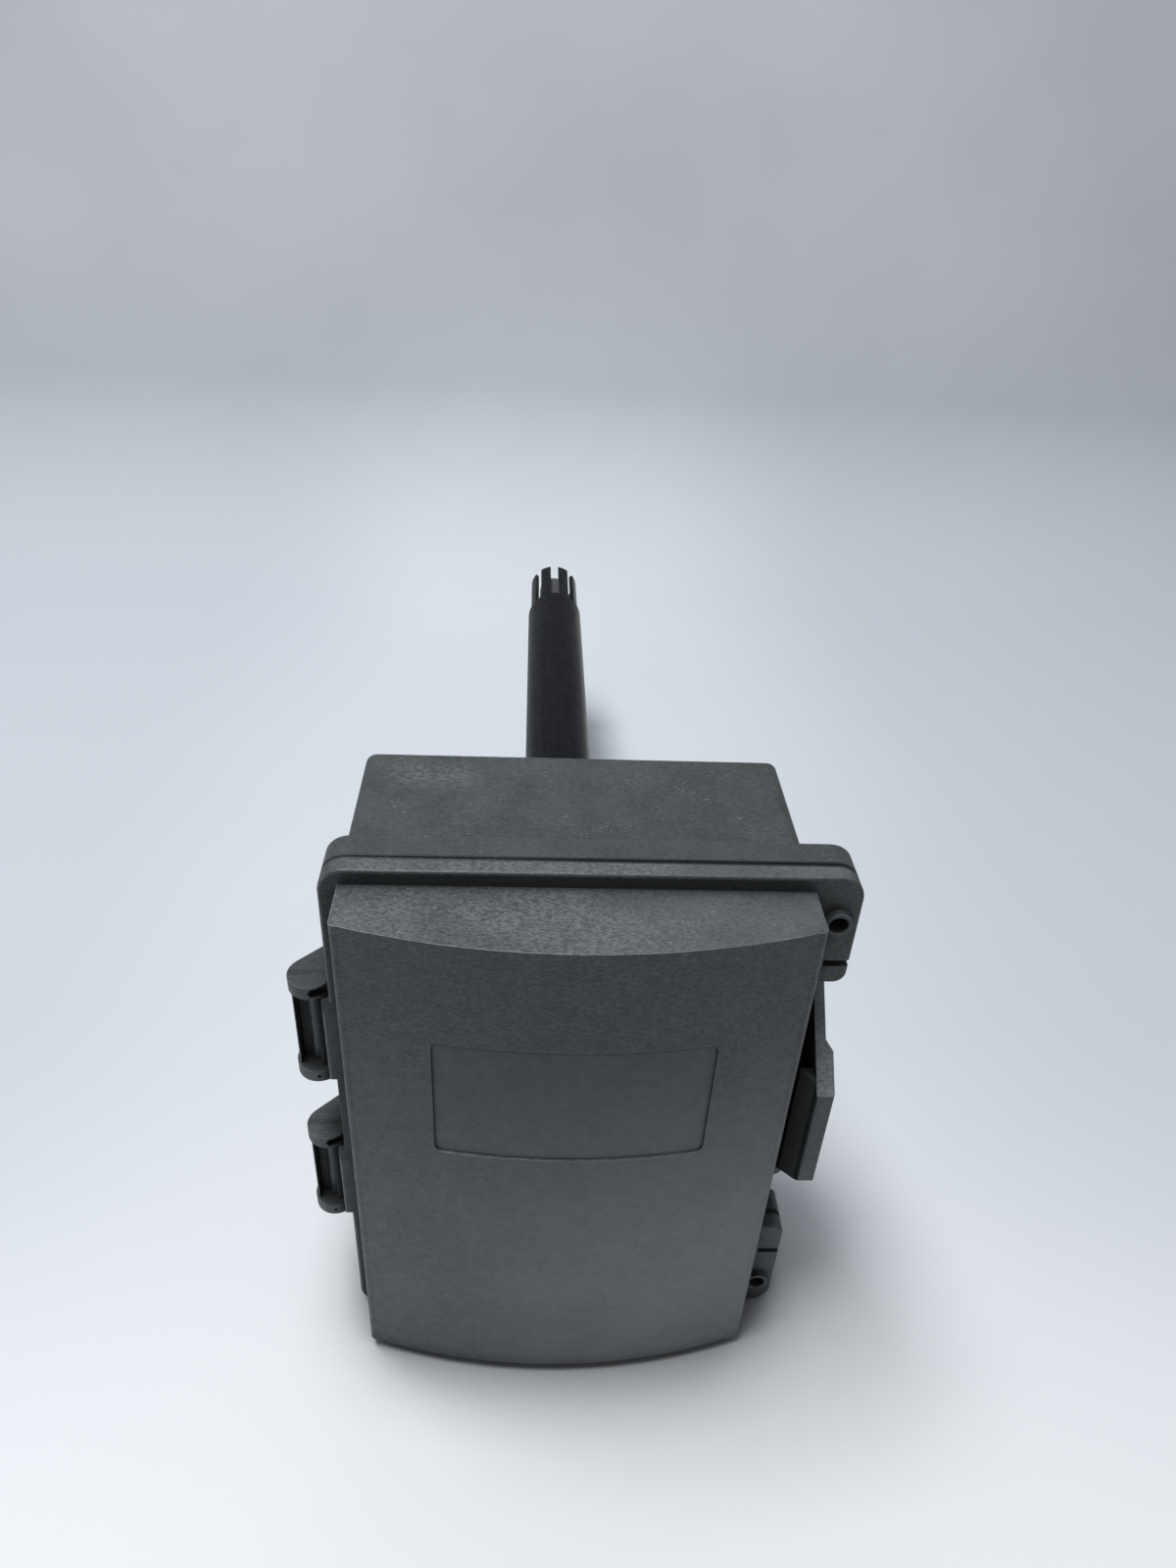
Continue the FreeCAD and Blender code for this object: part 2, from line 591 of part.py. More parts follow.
def soften(body, name, radius, wanted, kind="Fillet"):
    """Round or bevel the edges of the body's last shape that a test picks out."""
    doc.recompute()
    base = body.Tip
    edges = ["Edge%d" % (i + 1) for i, edge in enumerate(base.Shape.Edges) if wanted(edge)]
    if not edges:
        raise RuntimeError(name + " finds no edge")
    feature = body.newObject("PartDesign::" + kind, name)
    feature.Base = (base, edges)
    bind(feature, "Radius" if kind == "Fillet" else "Size", radius)
    doc.recompute()
    return feature


def near(first, second, slack=0.02):
    """Whether two lengths are alike."""
    return abs(number(first) - number(second)) < slack


def lies_at_y(edge, y):
    """Whether an edge lies wholly in the plane at one Y."""
    box = edge.BoundBox
    return near(box.YMin, y) and near(box.YMax, y)


def lies_between(edge, low, high):
    """Whether an edge lies between two heights."""
    box = edge.BoundBox
    return box.ZMin > number(low) - edge_slack and box.ZMax < number(high) + edge_slack


def flange_outline():
    """The flange seen from the front: square left side, two lugs on the right."""
    low_top = -flange_end + lower_lug
    high_bottom = flange_end - upper_lug
    return squared([
        (-flange_side, -flange_end, flange_corner),
        (lug_edge, -flange_end, flange_corner),
        (lug_edge, low_top, lug_round),
        (flange_side, low_top, None),
        (flange_side, high_bottom, None),
        (lug_edge, high_bottom, lug_round),
        (lug_edge, flange_end, flange_corner),
        (-flange_side, flange_end, flange_corner)])


def hinge_lows():
    """The lowest Z of each hinge bracket, upper first."""
    return [hinge_middle + side * hinge_pitch / 2 - hinge_high / 2 for side in (1, -1)]


def lug_hole_places():
    """X and Z of the two screw holes in the lugs, upper first."""
    return [(lug_hole_x, lug_hole_z), (lug_hole_x, -lug_hole_z)]


def duct_hole_places():
    """X and Z of the four screw holes in the rear wall."""
    return [(side * mount_wide / 2, up * mount_high / 2) for side in (-1, 1) for up in (-1, 1)]


def board_screw_places():
    """X and Z of the four board screws."""
    across = board_wide / 2 - board_inset
    heights = (board_top - board_inset, board_inset - board_bottom)
    return [(side * across, up) for side in (-1, 1) for up in heights]


def bracket_outline(axis_x, axis_y, nose, side, wall_x, front_x):
    """A hinge or latch plate from above: a round nose and a slanted back that runs to the wall.

    side is -1 for the left of the case and +1 for the right.
    """
    slope = nose / math.sqrt(2)
    root_x = side * (wall_x - root_depth)
    reach = side * axis_x + slope - (wall_x - root_depth)
    across = side * front_x - side * axis_x
    front = root(nose * nose - across * across)
    return [
        (root_x, root_depth - parting),
        (front_x, root_depth - parting),
        (front_x, axis_y - front),
        ("arc", axis_x, axis_y, side),
        (axis_x + side * slope, axis_y + slope),
        (root_x, axis_y + slope + reach)]


def rear_housing():
    """The deep shell behind the cover, with hinge brackets, latch ears and pillars."""
    body = new_body("rear_housing")
    outer = new_sketch(body, "housing_outline", "XZ", 0)
    draw(outer, rectangle(-body_side, body_side, -body_end, body_end, body_corner))
    pad(body, "housing_block", outer, parting)
    soften(body, "rear_edge", flange_edge, lambda edge: lies_at_y(edge, 0), "Chamfer")
    flange = new_sketch(body, "housing_flange_outline", "XZ", base_deep)
    draw(flange, flange_outline())
    pad(body, "housing_flange", flange, base_flange)
    soften(body, "housing_flange_edge", flange_edge,
           lambda edge: lies_at_y(edge, -base_deep) and outside_body(edge), "Chamfer")
    for index, low in enumerate(hinge_lows()):
        hinge_bracket(body, "hinge_%d" % index, low)
    for index, low in enumerate(ear_lows()):
        ear = new_sketch(body, "latch_ear_outline_%d" % index, "XY", low)
        draw(ear, ear_outline())
        pad(body, "latch_ear_%d" % index, ear, ear_plate)
    inner = new_sketch(body, "housing_inside_outline", "XZ", parting)
    draw(inner, rectangle(-cavity_side, cavity_side, -cavity_end, cavity_end, cavity_corner))
    pocket(body, "housing_inside", inner, parting - back_wall)
    groove = new_sketch(body, "seal_groove_outline", "XZ", parting)
    draw(groove, seal_outline(0, 0))
    draw(groove, seal_outline(groove_wide, 0))
    pocket(body, "seal_groove", groove, groove_deep)
    inside_wall = back_wall / 2
    raise_rods(body, "board_pillars", board_screw_places(), pillar_radius, inside_wall,
               board_stand + inside_wall)
    sink_rods(body, "pillar_holes", board_screw_places(), screw_radius + thread_play, board_rear,
              screw_bite + screw_spare)
    raise_rods(body, "probe_socket", [(0, 0)], socket_radius, inside_wall, socket_rise + inside_wall)
    sink_rods(body, "probe_hole", [(0, 0)], probe_radius + probe_play, back_wall + socket_rise,
              back_wall + socket_rise)
    sink_rods(body, "collar_recess", [(0, 0)], collar_radius + probe_play, collar_thick, collar_thick)
    raise_rods(body, "duct_hole_collars", duct_hole_places(), mount_collar, inside_wall,
               mount_collar_rise + inside_wall)
    sink_rods(body, "duct_holes", duct_hole_places(), mount_hole, back_wall + mount_collar_rise,
              back_wall + mount_collar_rise)
    sink_rods(body, "insert_holes", lug_hole_places(), insert_outer, parting, base_flange)
    sink_rods(body, "hinge_dimples", dimple_places(), dimple_radius, hinge_nose - hinge_y, dimple_deep)
    ring_root = shell_wall / 2
    add_rod(body, "entry_ring", 0, -entry_forward, ring_root - body_end, entry_boss, entry_rise + ring_root)
    cut_rod(body, "cable_entry", 0, -entry_forward, -body_end, entry_hole, entry_rise + shell_wall)
    ear_high, ear_low = ear_lows()
    cut_rod(body, "latch_pin_hole", latch_x, latch_y, ear_low, pin_radius + pin_play,
            ear_high + ear_plate - ear_low)
    return body


def outside_body(edge):
    """Whether an edge is on the rim of the flange and not where the housing leaves it."""
    box = edge.BoundBox
    side = number(body_side) + edge_slack
    end = number(body_end) + edge_slack
    inside_x = box.XMax < side and box.XMin > -side
    inside_z = box.ZMax < end and box.ZMin > -end
    return not (inside_x and inside_z)


def seal_outline(inward, clear):
    """One side of the seal groove, some way in from its outer side."""
    across = flange_side - groove_in - inward - clear
    up = flange_end - groove_in - inward - clear
    return rectangle(-across, across, -up, up, flange_corner - groove_in - inward - clear)


def ear_lows():
    """The lowest Z of each latch ear, upper first."""
    return [latch_middle + latch_half + gap_clear, latch_middle - latch_half - gap_clear - ear_plate]


def ear_outline():
    """A latch ear from above: a round nose out of the housing's side, behind its flange."""
    front = -(base_deep + ear_behind)
    return [
        (body_side - ear_root, front),
        (flange_side - ear_in, front),
        (latch_x, latch_y - ear_nose),
        ("arc", latch_x, latch_y, 1),
        (latch_x, latch_y + ear_nose),
        (body_side - ear_root, latch_y + ear_nose + ear_slope)]


def dimple_places():
    """X and Z of the dimples, one in each end plate of the hinge brackets."""
    steps = (hinge_plate / 2, hinge_high - hinge_plate / 2)
    return [(hinge_x + dimple_side, low + step) for low in hinge_lows() for step in steps]


def hinge_bracket(body, name, low):
    """End plates, outer guard and pin hole of one hinge on the housing."""
    block = new_sketch(body, name + "_outline", "XY", low)
    front_x = -(flange_side + bracket_front)
    draw(block, bracket_outline(hinge_x, hinge_y, hinge_nose, -1, body_side, front_x))
    pad(body, name + "_bracket", block, hinge_high)
    room_low = low + hinge_plate
    room_high = hinge_high - hinge_plate * 2
    cut_rod(body, name + "_room", hinge_x, hinge_y, room_low, hinge_room, room_high)
    nose_front = hinge_y - hinge_nose - cut_past
    cut_box(body, name + "_window", hinge_x - hinge_window, nose_front, room_low,
            hinge_window + hinge_out - bracket_front / 2, -(parting + nose_front), room_high)
    doc.recompute()
    guard = new_sketch(body, name + "_guard_outline", "XY", room_low)
    draw(guard, guard_outline())
    pocket(body, name + "_guard_side", guard, room_high, False, True)
    notch_low = low + hinge_high - (hinge_plate + notch_high) / 2
    cut_box(body, name + "_notch", hinge_x + dimple_side, nose_front, notch_low,
            hinge_out, -(notch_floor - hinge_y + nose_front), notch_high)
    cut_rod(body, name + "_pin_hole", hinge_x, hinge_y, low, pin_radius + pin_play, hinge_high - pin_cap)


def guard_outline():
    """What is taken off the bracket's outside between its end plates, from above."""
    guard = hinge_nose - guard_in
    slope = guard / math.sqrt(2)
    rise = hinge_y + slope - body_side - hinge_x + slope
    outside = hinge_x - hinge_nose - cut_past
    return [
        (hinge_x, hinge_y - guard),
        ("arc", hinge_x, hinge_y, -1),
        (hinge_x - slope, hinge_y + slope),
        (-body_side, rise),
        (-body_side, rise + guard_in * 2),
        (outside, rise + guard_in * 2),
        (outside, hinge_y - hinge_nose - cut_past),
        (hinge_x, hinge_y - hinge_nose - cut_past)]


def front_cover():
    """The curved cover with its flange, screw lugs and hinge hooks."""
    body = new_body("front_cover")
    flange = new_sketch(body, "cover_flange_outline", "XZ", cover_back)
    draw(flange, flange_outline())
    pad(body, "cover_flange_plate", flange, cover_flange)
    raised = new_sketch(body, "raised_outline", "XY", 0)
    draw(raised, raised_outline(0, cover_sink - flange_front))
    pad(body, "raised_part", raised, case_high, True)
    soften(body, "raised_sides", raised_corner, is_raised_side)
    for index, low in enumerate(hinge_lows()):
        hinge_leaf(body, "cover_hinge_%d" % index, low)
    soften(body, "cover_flange_edge", flange_edge,
           lambda edge: lies_at_y(edge, -flange_front) and on_flange_rim(edge))
    inside = new_sketch(body, "cover_inside_outline", "XY", 0)
    draw(inside, raised_outline(shell_wall, cut_past - cover_back))
    pocket(body, "cover_inside", inside, case_high - shell_wall * 2, True)
    recess = new_sketch(body, "label_outline", "XY", label_up)
    draw(recess, label_outline())
    pocket(body, "label_recess", recess, label_high, True)
    soften(body, "label_corners", label_corner, is_label_corner)
    ring_front = flange_front + lug_boss_rise
    raise_rods(body, "lug_rings", lug_hole_places(), lug_boss, flange_front - cover_flange / 2,
               lug_boss_rise + cover_flange / 2)
    sink_rods(body, "lug_holes", lug_hole_places(), lug_hole, ring_front, lug_boss_rise + cover_flange)
    slot_low = flange_end - slot_from_end
    for name, low in (("upper", slot_low), ("lower", -slot_low - slot_high)):
        cut_box(body, name + "_lug_slot", lug_edge - slot_reach, -flange_front, low, slot_reach + cut_past,
                cover_flange, slot_high)
    return body


def front_curve():
    """Half the chord and the radius of the cover's curved front."""
    chord = half_wide - front_flat
    return chord, (chord * chord + cover_bulge * cover_bulge) / (cover_bulge * 2)


def raised_outline(inward, rear):
    """The raised part from above, in some way from its outside, back to one Y."""
    chord, radius = front_curve()
    side = half_wide - inward
    line = -(corner_line - inward)
    inner_chord = chord - inward
    rise = root((radius - inward) * (radius - inward) - inner_chord * inner_chord)
    middle = line + rise
    return [
        (-side, rear),
        (-side, line),
        (-inner_chord, line),
        ("arc", 0, middle, 1),
        (inner_chord, line),
        (side, line),
        (side, rear)]


def label_outline():
    """A thin curved strip along the front, as deep as the label recess."""
    chord, radius = front_curve()
    middle = root(radius * radius - chord * chord) - corner_line
    half = label_wide / 2
    inner = radius - label_deep
    outer = radius + cut_past
    return [
        (-half, middle - root(outer * outer - half * half)),
        ("arc", 0, middle, 1),
        (half, middle - root(outer * outer - half * half)),
        (half, middle - root(inner * inner - half * half)),
        ("arc", 0, middle, -1),
        (-half, middle - root(inner * inner - half * half))]


def is_raised_side(edge):
    """Whether an edge runs up one side of the raised part, at the corner line."""
    box = edge.BoundBox
    upright = near(box.ZLength, case_high)
    at_side = near(abs(box.XMin), half_wide) and near(abs(box.XMax), half_wide)
    return upright and at_side and near(box.YMin, -corner_line)


def is_label_corner(edge):
    """Whether an edge is one of the four short ones across the label recess's depth."""
    box = edge.BoundBox
    across_depth = near(box.ZLength, 0) and edge.Length < number(label_deep) * 2
    at_side = near(abs(box.XMin), label_wide / 2, number(label_deep))
    return across_depth and at_side and box.YMax < -number(corner_line)


def on_flange_rim(edge):
    """Whether an edge is on the outer rim of the cover's flange."""
    box = edge.BoundBox
    side = number(half_wide) + edge_slack
    end = number(half_high) + edge_slack
    beyond_side = box.XMax < -side or box.XMin > side
    beyond_end = box.ZMax < -end or box.ZMin > end
    long_enough = edge.Length > number(flange_edge) * 2
    by_hinge = box.XMax < -side and box.ZMax < end and box.ZMin > -end
    return (beyond_side or beyond_end) and long_enough and not by_hinge


def hinge_leaf(body, name, low):
    """The cover's part of one hinge: a raised leaf, an arm and a hook round the pin."""
    room_low = low + hinge_plate + gap_clear
    room_high = hinge_high - hinge_plate * 2 - gap_clear * 2
    leaf_top = low + hinge_high - hinge_plate - gap_clear
    leaf_front = -(flange_front + leaf_rise)
    outline = new_sketch(body, name + "_leaf_outline", "YZ", -(flange_side + leaf_left))
    draw(outline, [(leaf_front, low + leaf_foot), (-cover_back, low + leaf_foot), (-cover_back, leaf_top),
                   (leaf_front + leaf_slope_deep, leaf_top), (leaf_front, leaf_top - leaf_slope_high)])
    pad(body, name + "_leaf", outline, leaf_wide)
    soften(body, name + "_leaf_edges", leaf_round,
           lambda edge: lies_at_y(edge, leaf_front) and lies_between(edge, low, leaf_top))
    plate_room = hinge_plate + gap_clear * 2
    for end, plate_low in (("lower", low), ("upper", low + hinge_high - hinge_plate)):
        cut_rod(body, name + "_" + end + "_relief", hinge_x, hinge_y, plate_low - gap_clear, hinge_relief,
                plate_room)
    add_rod(body, name + "_hook", hinge_x, hinge_y, room_low, hook_radius, room_high)
    add_box(body, name + "_arm", hinge_x, hinge_y - hook_arm, room_low, hinge_relief + arm_root,
            hook_arm - arm_back, room_high)
    cut_rod(body, name + "_pin_bore", hinge_x, hinge_y, room_low, pin_radius + pin_play, room_high)
    cut_box(body, name + "_mouth", hinge_x - hook_radius, hinge_y - hook_radius, room_low,
            hook_radius + hook_mouth, hook_radius + hook_open, room_high)


def cover_gasket():
    """The soft seal that lies in the housing's groove."""
    body = new_body("cover_gasket")
    ring = new_sketch(body, "gasket_outline", "XZ", parting - groove_deep)
    draw(ring, seal_outline(0, seal_side))
    draw(ring, seal_outline(groove_wide, -seal_side))
    pad(body, "gasket_ring", ring, groove_deep + seal_proud)
    return body


def latch_lever():
    """The pull latch: a plate with slanted ends, a thick grip, a barrel and a hook."""
    body = new_body("latch_lever")
    front = -(flange_front + latch_hook_gap + latch_hook_root + latch_land)
    high = latch_front / 2
    rear_y = front + latch_slant
    web = new_sketch(body, "latch_outline", "YZ", latch_inner)
    draw(web, [
        (front, latch_middle - high),
        (rear_y, latch_middle - latch_half),
        (latch_y, latch_middle - latch_half),
        (latch_y, latch_middle + latch_half),
        (rear_y, latch_middle + latch_half),
        (front, latch_middle + high)])
    pad(body, "latch_plate", web, latch_web)
    grip = new_sketch(body, "latch_grip_outline", "XY", latch_middle - latch_half)
    outer = latch_inner + latch_grip
    draw(grip, [
        (latch_inner + latch_web / 2, front),
        (outer, front),
        (outer, front + latch_grip_deep),
        (latch_inner + latch_web, front + latch_grip_deep + latch_grip_blend),
        (latch_inner + latch_web / 2, front + latch_grip_deep + latch_grip_blend)])
    pad(body, "latch_grip", grip, latch_half * 2)
    for name, up in (("upper", 1), ("lower", -1)):
        corner = new_sketch(body, "latch_%s_slant_outline" % name, "YZ", latch_inner - cut_past)
        draw(corner, [
            (front - cut_past, latch_middle + up * (high - cut_past)),
            (rear_y, latch_middle + up * latch_half),
            (rear_y, latch_middle + up * (latch_half + cut_past)),
            (front - cut_past, latch_middle + up * (latch_half + cut_past))])
        pocket(body, "latch_%s_slant" % name, corner, latch_grip + cut_past * 2, False, True)
    add_rod(body, "latch_barrel", latch_x, latch_y, latch_middle - latch_half, latch_barrel, latch_half * 2)
    hook = new_sketch(body, "latch_hook_outline", "XY", latch_middle)
    hook_y = -(flange_front + latch_hook_gap)
    tip_x = flange_side + latch_tip
    draw(hook, [
        (latch_inner + latch_web / 2, hook_y),
        (tip_x, hook_y),
        (tip_x, hook_y - latch_hook_nose),
        (latch_inner, hook_y - latch_hook_root),
        (latch_inner + latch_web / 2, hook_y - latch_hook_root)])
    pad(body, "latch_hook", hook, latch_hook_long, True)
    for index, up in enumerate((-1, 1)):
        add_box(body, "latch_rib_%d" % index, latch_inner - latch_rib_rise, hook_y - latch_rib_in,
                latch_middle + up * latch_rib_out - latch_rib_thick / 2,
                latch_rib_rise + latch_web / 2, latch_y - hook_y, latch_rib_thick)
    cut_rod(body, "latch_bore", latch_x, latch_y, latch_middle - latch_half, pin_radius + pin_play,
            latch_half * 2)
    soften(body, "latch_front_edges", latch_round, lambda edge: lies_at_y(edge, front))
    return body


def straight_pin(name, x, y, low, length):
    """A plain round pin along Z."""
    body = new_body(name)
    add_rod(body, name + "_rod", x, y, low, pin_radius, length)
    return body


def lug_inserts():
    """The two threaded brass inserts behind the cover's screw holes."""
    body = new_body("lug_inserts")
    outer = new_sketch(body, "insert_outline", "XZ", base_deep)
    for x, z in lug_hole_places():
        circle(outer, x, z, insert_outer)
        circle(outer, x, z, insert_inner)
    pad(body, "insert_tubes", outer, base_flange)
    return body


def circle(sketch, across, up, radius):
    """A circle held by its centre and its radius."""
    centre = vector(number(across), number(up), 0)
    index = sketch.addGeometry(Part.Circle(centre, vector(0, 0, 1), number(radius)))
    pin_point(sketch, index, 3, across, up)
    place_rule(sketch, Sketcher.Constraint("Radius", index, number(radius)), radius)


def probe_tube():
    """The long tube with the collar that lies in the rear wall's recess."""
    body = new_body("probe_tube")
    inner = probe_radius - probe_wall
    spin(body, "tube_wall", [
        (inner, -probe_inside),
        (probe_radius, -probe_inside),
        (probe_radius, -collar_thick),
        (collar_radius, -collar_thick),
        (collar_radius, 0),
        (probe_radius, 0),
        (probe_radius, probe_shoulder),
        (inner, probe_shoulder)])
    return body


def probe_crown():
    """The slimmer end of the probe with open slots between its prongs."""
    body = new_body("probe_crown")
    inner = crown_radius - crown_wall
    spigot = probe_radius - probe_wall
    spin(body, "crown_wall_ring", [
        (inner, probe_shoulder - crown_sleeve),
        (spigot, probe_shoulder - crown_sleeve),
        (spigot, probe_shoulder),
        (probe_radius, probe_shoulder),
        (probe_radius, probe_shoulder + crown_lip),
        (crown_radius, probe_shoulder + crown_lip + crown_slope),
        (crown_radius, probe_long - prong_round),
        (crown_radius - prong_bevel, probe_long),
        (inner, probe_long)])
    slot = cut_box(body, "crown_first_slot", -crown_slot / 2, probe_long - slot_long, 0, crown_slot,
                   slot_long, crown_radius + cut_past)
    doc.recompute()
    ring = body.newObject("PartDesign::PolarPattern", "crown_slots")
    ring.Originals = [slot]
    ring.Axis = ([item for item in body.Origin.OriginFeatures if item.Role == "Y_Axis"][0], [""])
    ring.Angle = 360
    ring.Occurrences = crown_slots
    body.Tip = ring
    return body


def probe_locknut():
    """The six-sided nut that holds the tube from inside the housing."""
    body = new_body("probe_locknut")
    start = back_wall + socket_rise + washer_thick
    flats = new_sketch(body, "nut_outline", "XZ", start)
    corner = nut_across / math.sqrt(3)
    half = corner / 2
    draw(flats, [
        (corner, 0), (half, nut_across / 2), (-half, nut_across / 2),
        (-corner, 0), (-half, -nut_across / 2), (half, -nut_across / 2)])
    pad(body, "nut_block", flats, nut_thick)
    cut_rod(body, "nut_bore", 0, -(start + nut_thick), 0, probe_radius + thread_play, nut_thick, "Y")
    return body


def flat_ring(name, start, outer, inner, thick):
    """A flat ring round the probe, from one Y towards the duct."""
    body = new_body(name)
    end = start + thick
    spin(body, name + "_section", [(inner, start), (outer, start), (outer, end), (inner, end)])
    return body


def sensor_filter():
    """The thimble of filter mesh over the sensing board."""
    body = new_body("sensor_filter")
    inner = filter_radius - filter_wall
    inner_tip = filter_tip - filter_wall
    inner_nose = filter_nose - filter_wall / 2
    spin(body, "filter_wall_form", [
        (inner, filter_start),
        (filter_radius, filter_start),
        (filter_radius, filter_tip - filter_nose),
        (filter_radius - filter_nose, filter_tip),
        (0, filter_tip),
        (0, inner_tip),
        (inner - inner_nose, inner_tip),
        (inner, inner_tip - inner_nose)])
    return body


def tip_plug():
    """The disc in the crown that carries filter and sensor board."""
    body = new_body("tip_plug")
    start = filter_start - plug_thick
    rim = crown_radius - crown_wall - plug_play
    spin(body, "plug_disc", [(0, start), (rim, start), (rim, filter_start), (0, filter_start)])
    slot_half = tip_board_wide / 2 + plug_play
    slot_rise = tip_board_thick / 2 + plug_play
    cut_box(body, "plug_slot", -slot_half, start, -slot_rise, slot_half * 2, plug_thick, slot_rise * 2)
    return body


def tip_board():
    """The narrow board that holds the humidity element inside the filter."""
    body = new_body("tip_board")
    add_box(body, "tip_board_strip", -tip_board_wide / 2, tip_board_tip - tip_board_long,
            -tip_board_thick / 2, tip_board_wide, tip_board_long, tip_board_thick)
    return body


def humidity_element():
    """The small square sensing element near the board's end."""
    body = new_body("humidity_element")
    end = tip_board_tip - element_in
    add_box(body, "element_block", -element_wide / 2, end - element_wide, tip_board_thick / 2,
            element_wide, element_wide, element_thick)
    cut_rod(body, "element_window", 0, end - element_wide / 2, tip_board_thick / 2 + element_thick / 2,
            element_hole, element_thick)
    return body


def sensor_lead():
    """The round lead from the sensor board through the tube to the plug on the circuit board."""
    lead = doc.addObject("Part::Feature", "sensor_lead")
    bend = number(lead_bend)
    turn_y = bend - number(board_face + header_deep / 2)
    start = vector(0, number(tip_board_tip - tip_board_long), 0)
    corner_start = vector(0, turn_y, 0)
    quarter = vector(0, turn_y - bend * math.sin(math.pi / 4), bend * (1 - math.cos(math.pi / 4)))
    corner_end = vector(0, turn_y - bend, bend)
    top_end = vector(0, turn_y - bend, number(header_up))
    edges = [Part.makeLine(start, corner_start), Part.Arc(corner_start, quarter, corner_end).toShape(),
             Part.makeLine(corner_end, top_end)]
    section = Part.Wire([Part.makeCircle(number(lead_radius), start, vector(0, -1, 0))])
    lead.Shape = Part.Wire(edges).makePipeShell([section], True, False)
    lead.Label = "sensor_lead"
    nodes.append(lead)
    return lead


def circuit_board():
    """The main board, with a hole that lets the lead through."""
    body = new_body("circuit_board")
    outline = new_sketch(body, "board_outline", "XZ", board_rear)
    draw(outline, rectangle(-board_wide / 2, board_wide / 2, -board_bottom, board_top, board_corner))
    pad(body, "board_sheet", outline, board_thick)
    sink_rods(body, "lead_hole", [(0, 0)], board_hole, board_face, board_thick)
    sink_rods(body, "board_holes", board_screw_places(), screw_radius + board_play, board_face, board_thick)
    return body


def board_screws():
    """The four screws that hold the circuit board to its pillars."""
    body = new_body("board_screws")
    heads = new_sketch(body, "screw_heads_outline", "XZ", board_face)
    shanks = new_sketch(body, "screw_shanks_outline", "XZ", board_face)
    for x, z in board_screw_places():
        circle(heads, x, z, screw_head)
        circle(shanks, x, z, screw_radius)
    pad(body, "screw_heads", heads, screw_head_high)
    pad(body, "screw_shanks", shanks, board_thick + screw_bite, False, True)
    for index, (x, z) in enumerate(board_screw_places()):
        cut_box(body, "screw_slot_%d" % index, x - screw_head, -(board_face + screw_head_high),
                z - driver_slot / 2, screw_head * 2, screw_head_high / 2, driver_slot)
    return body


def terminal_places():
    """The X of each terminal."""
    first = -terminal_pitch * (terminal_ways - 1) / 2
    return [first + terminal_pitch * index for index in range(terminal_ways)]


def terminal_block():
    """The row of screw terminals at the board's lower edge."""
    body = new_body("terminal_block")
    wide = terminal_pitch * terminal_ways
    front = -(board_face + terminal_high)
    high = terminal_low + terminal_deep
    section = new_sketch(body, "terminal_section", "YZ", -wide / 2)
    draw(section, [
        (-board_face, terminal_low),
        (-board_face, high),
        (front + terminal_bevel, high),
        (front, high - terminal_bevel),
        (front, terminal_low + terminal_chin),
        (front + terminal_chin, terminal_low)])
    pad(body, "terminal_bar", section, wide)
    for index, x in enumerate(terminal_places()):
        cut_rod(body, "screw_well_%d" % index, x, front, terminal_low + terminal_deep / 2,
                terminal_well, well_deep, "Y")
        cut_box(body, "wire_opening_%d" % index, x - wire_hole / 2, -(board_face + wire_hole + wire_floor),
                terminal_low, wire_hole, wire_hole, wire_deep)
    return body


def terminal_screws():
    """The screws in the terminal block."""
    body = new_body("terminal_screws")
    middle = terminal_low + terminal_deep / 2
    start = clamp_middle + clamp_side / 2
    heads = new_sketch(body, "terminal_screw_outline", "XZ", start)
    for x in terminal_places():
        circle(heads, x, middle, terminal_screw)
    pad(body, "terminal_screw_rods", heads, terminal_screw_long)
    for index, x in enumerate(terminal_places()):
        cut_box(body, "terminal_slot_%d" % index, x - terminal_screw, -(start + terminal_screw_long),
                middle - terminal_slot / 2, terminal_screw * 2, terminal_slot_deep, terminal_slot)
    return body


def square(across, up, half):
    """The corners of an upright square round one point."""
    return [(across + step * half, up + rise * half) for step, rise in ((-1, -1), (1, -1), (1, 1), (-1, 1))]


def wire_clamps():
    """The metal clamps inside the wire openings."""
    body = new_body("wire_clamps")
    section = new_sketch(body, "clamp_outline", "XY", terminal_low + clamp_in)
    y = -clamp_middle
    for x in terminal_places():
        for half in (clamp_side / 2, clamp_side / 2 - clamp_wall):
            draw(section, square(x, y, half))
    pad(body, "clamp_tubes", section, clamp_long)
    return body


def board_part(name, x, z, wide, high, deep, edge):
    """A square-cornered part that stands on the circuit board, with bevelled front edges."""
    body = new_body(name)
    front = -(board_face + deep)
    add_box(body, name + "_block", x, front, z, wide, deep, high)
    soften(body, name + "_edges", edge, lambda item: lies_at_y(item, front), "Chamfer")
    return body


def capacitors():
    """The two round capacitors on the circuit board."""
    body = new_body("capacitors")
    cans = new_sketch(body, "capacitor_outline", "XZ", board_face)
    right = board_wide / 2 - capacitor_edge
    for x in (right - capacitor_pitch, right):
        circle(cans, x, board_top - capacitor_drop, capacitor_radius)
    pad(body, "capacitor_cans", cans, capacitor_high)
    top = -(board_face + capacitor_high)
    soften(body, "capacitor_tops", capacitor_round, lambda edge: lies_at_y(edge, top), "Chamfer")
    return body


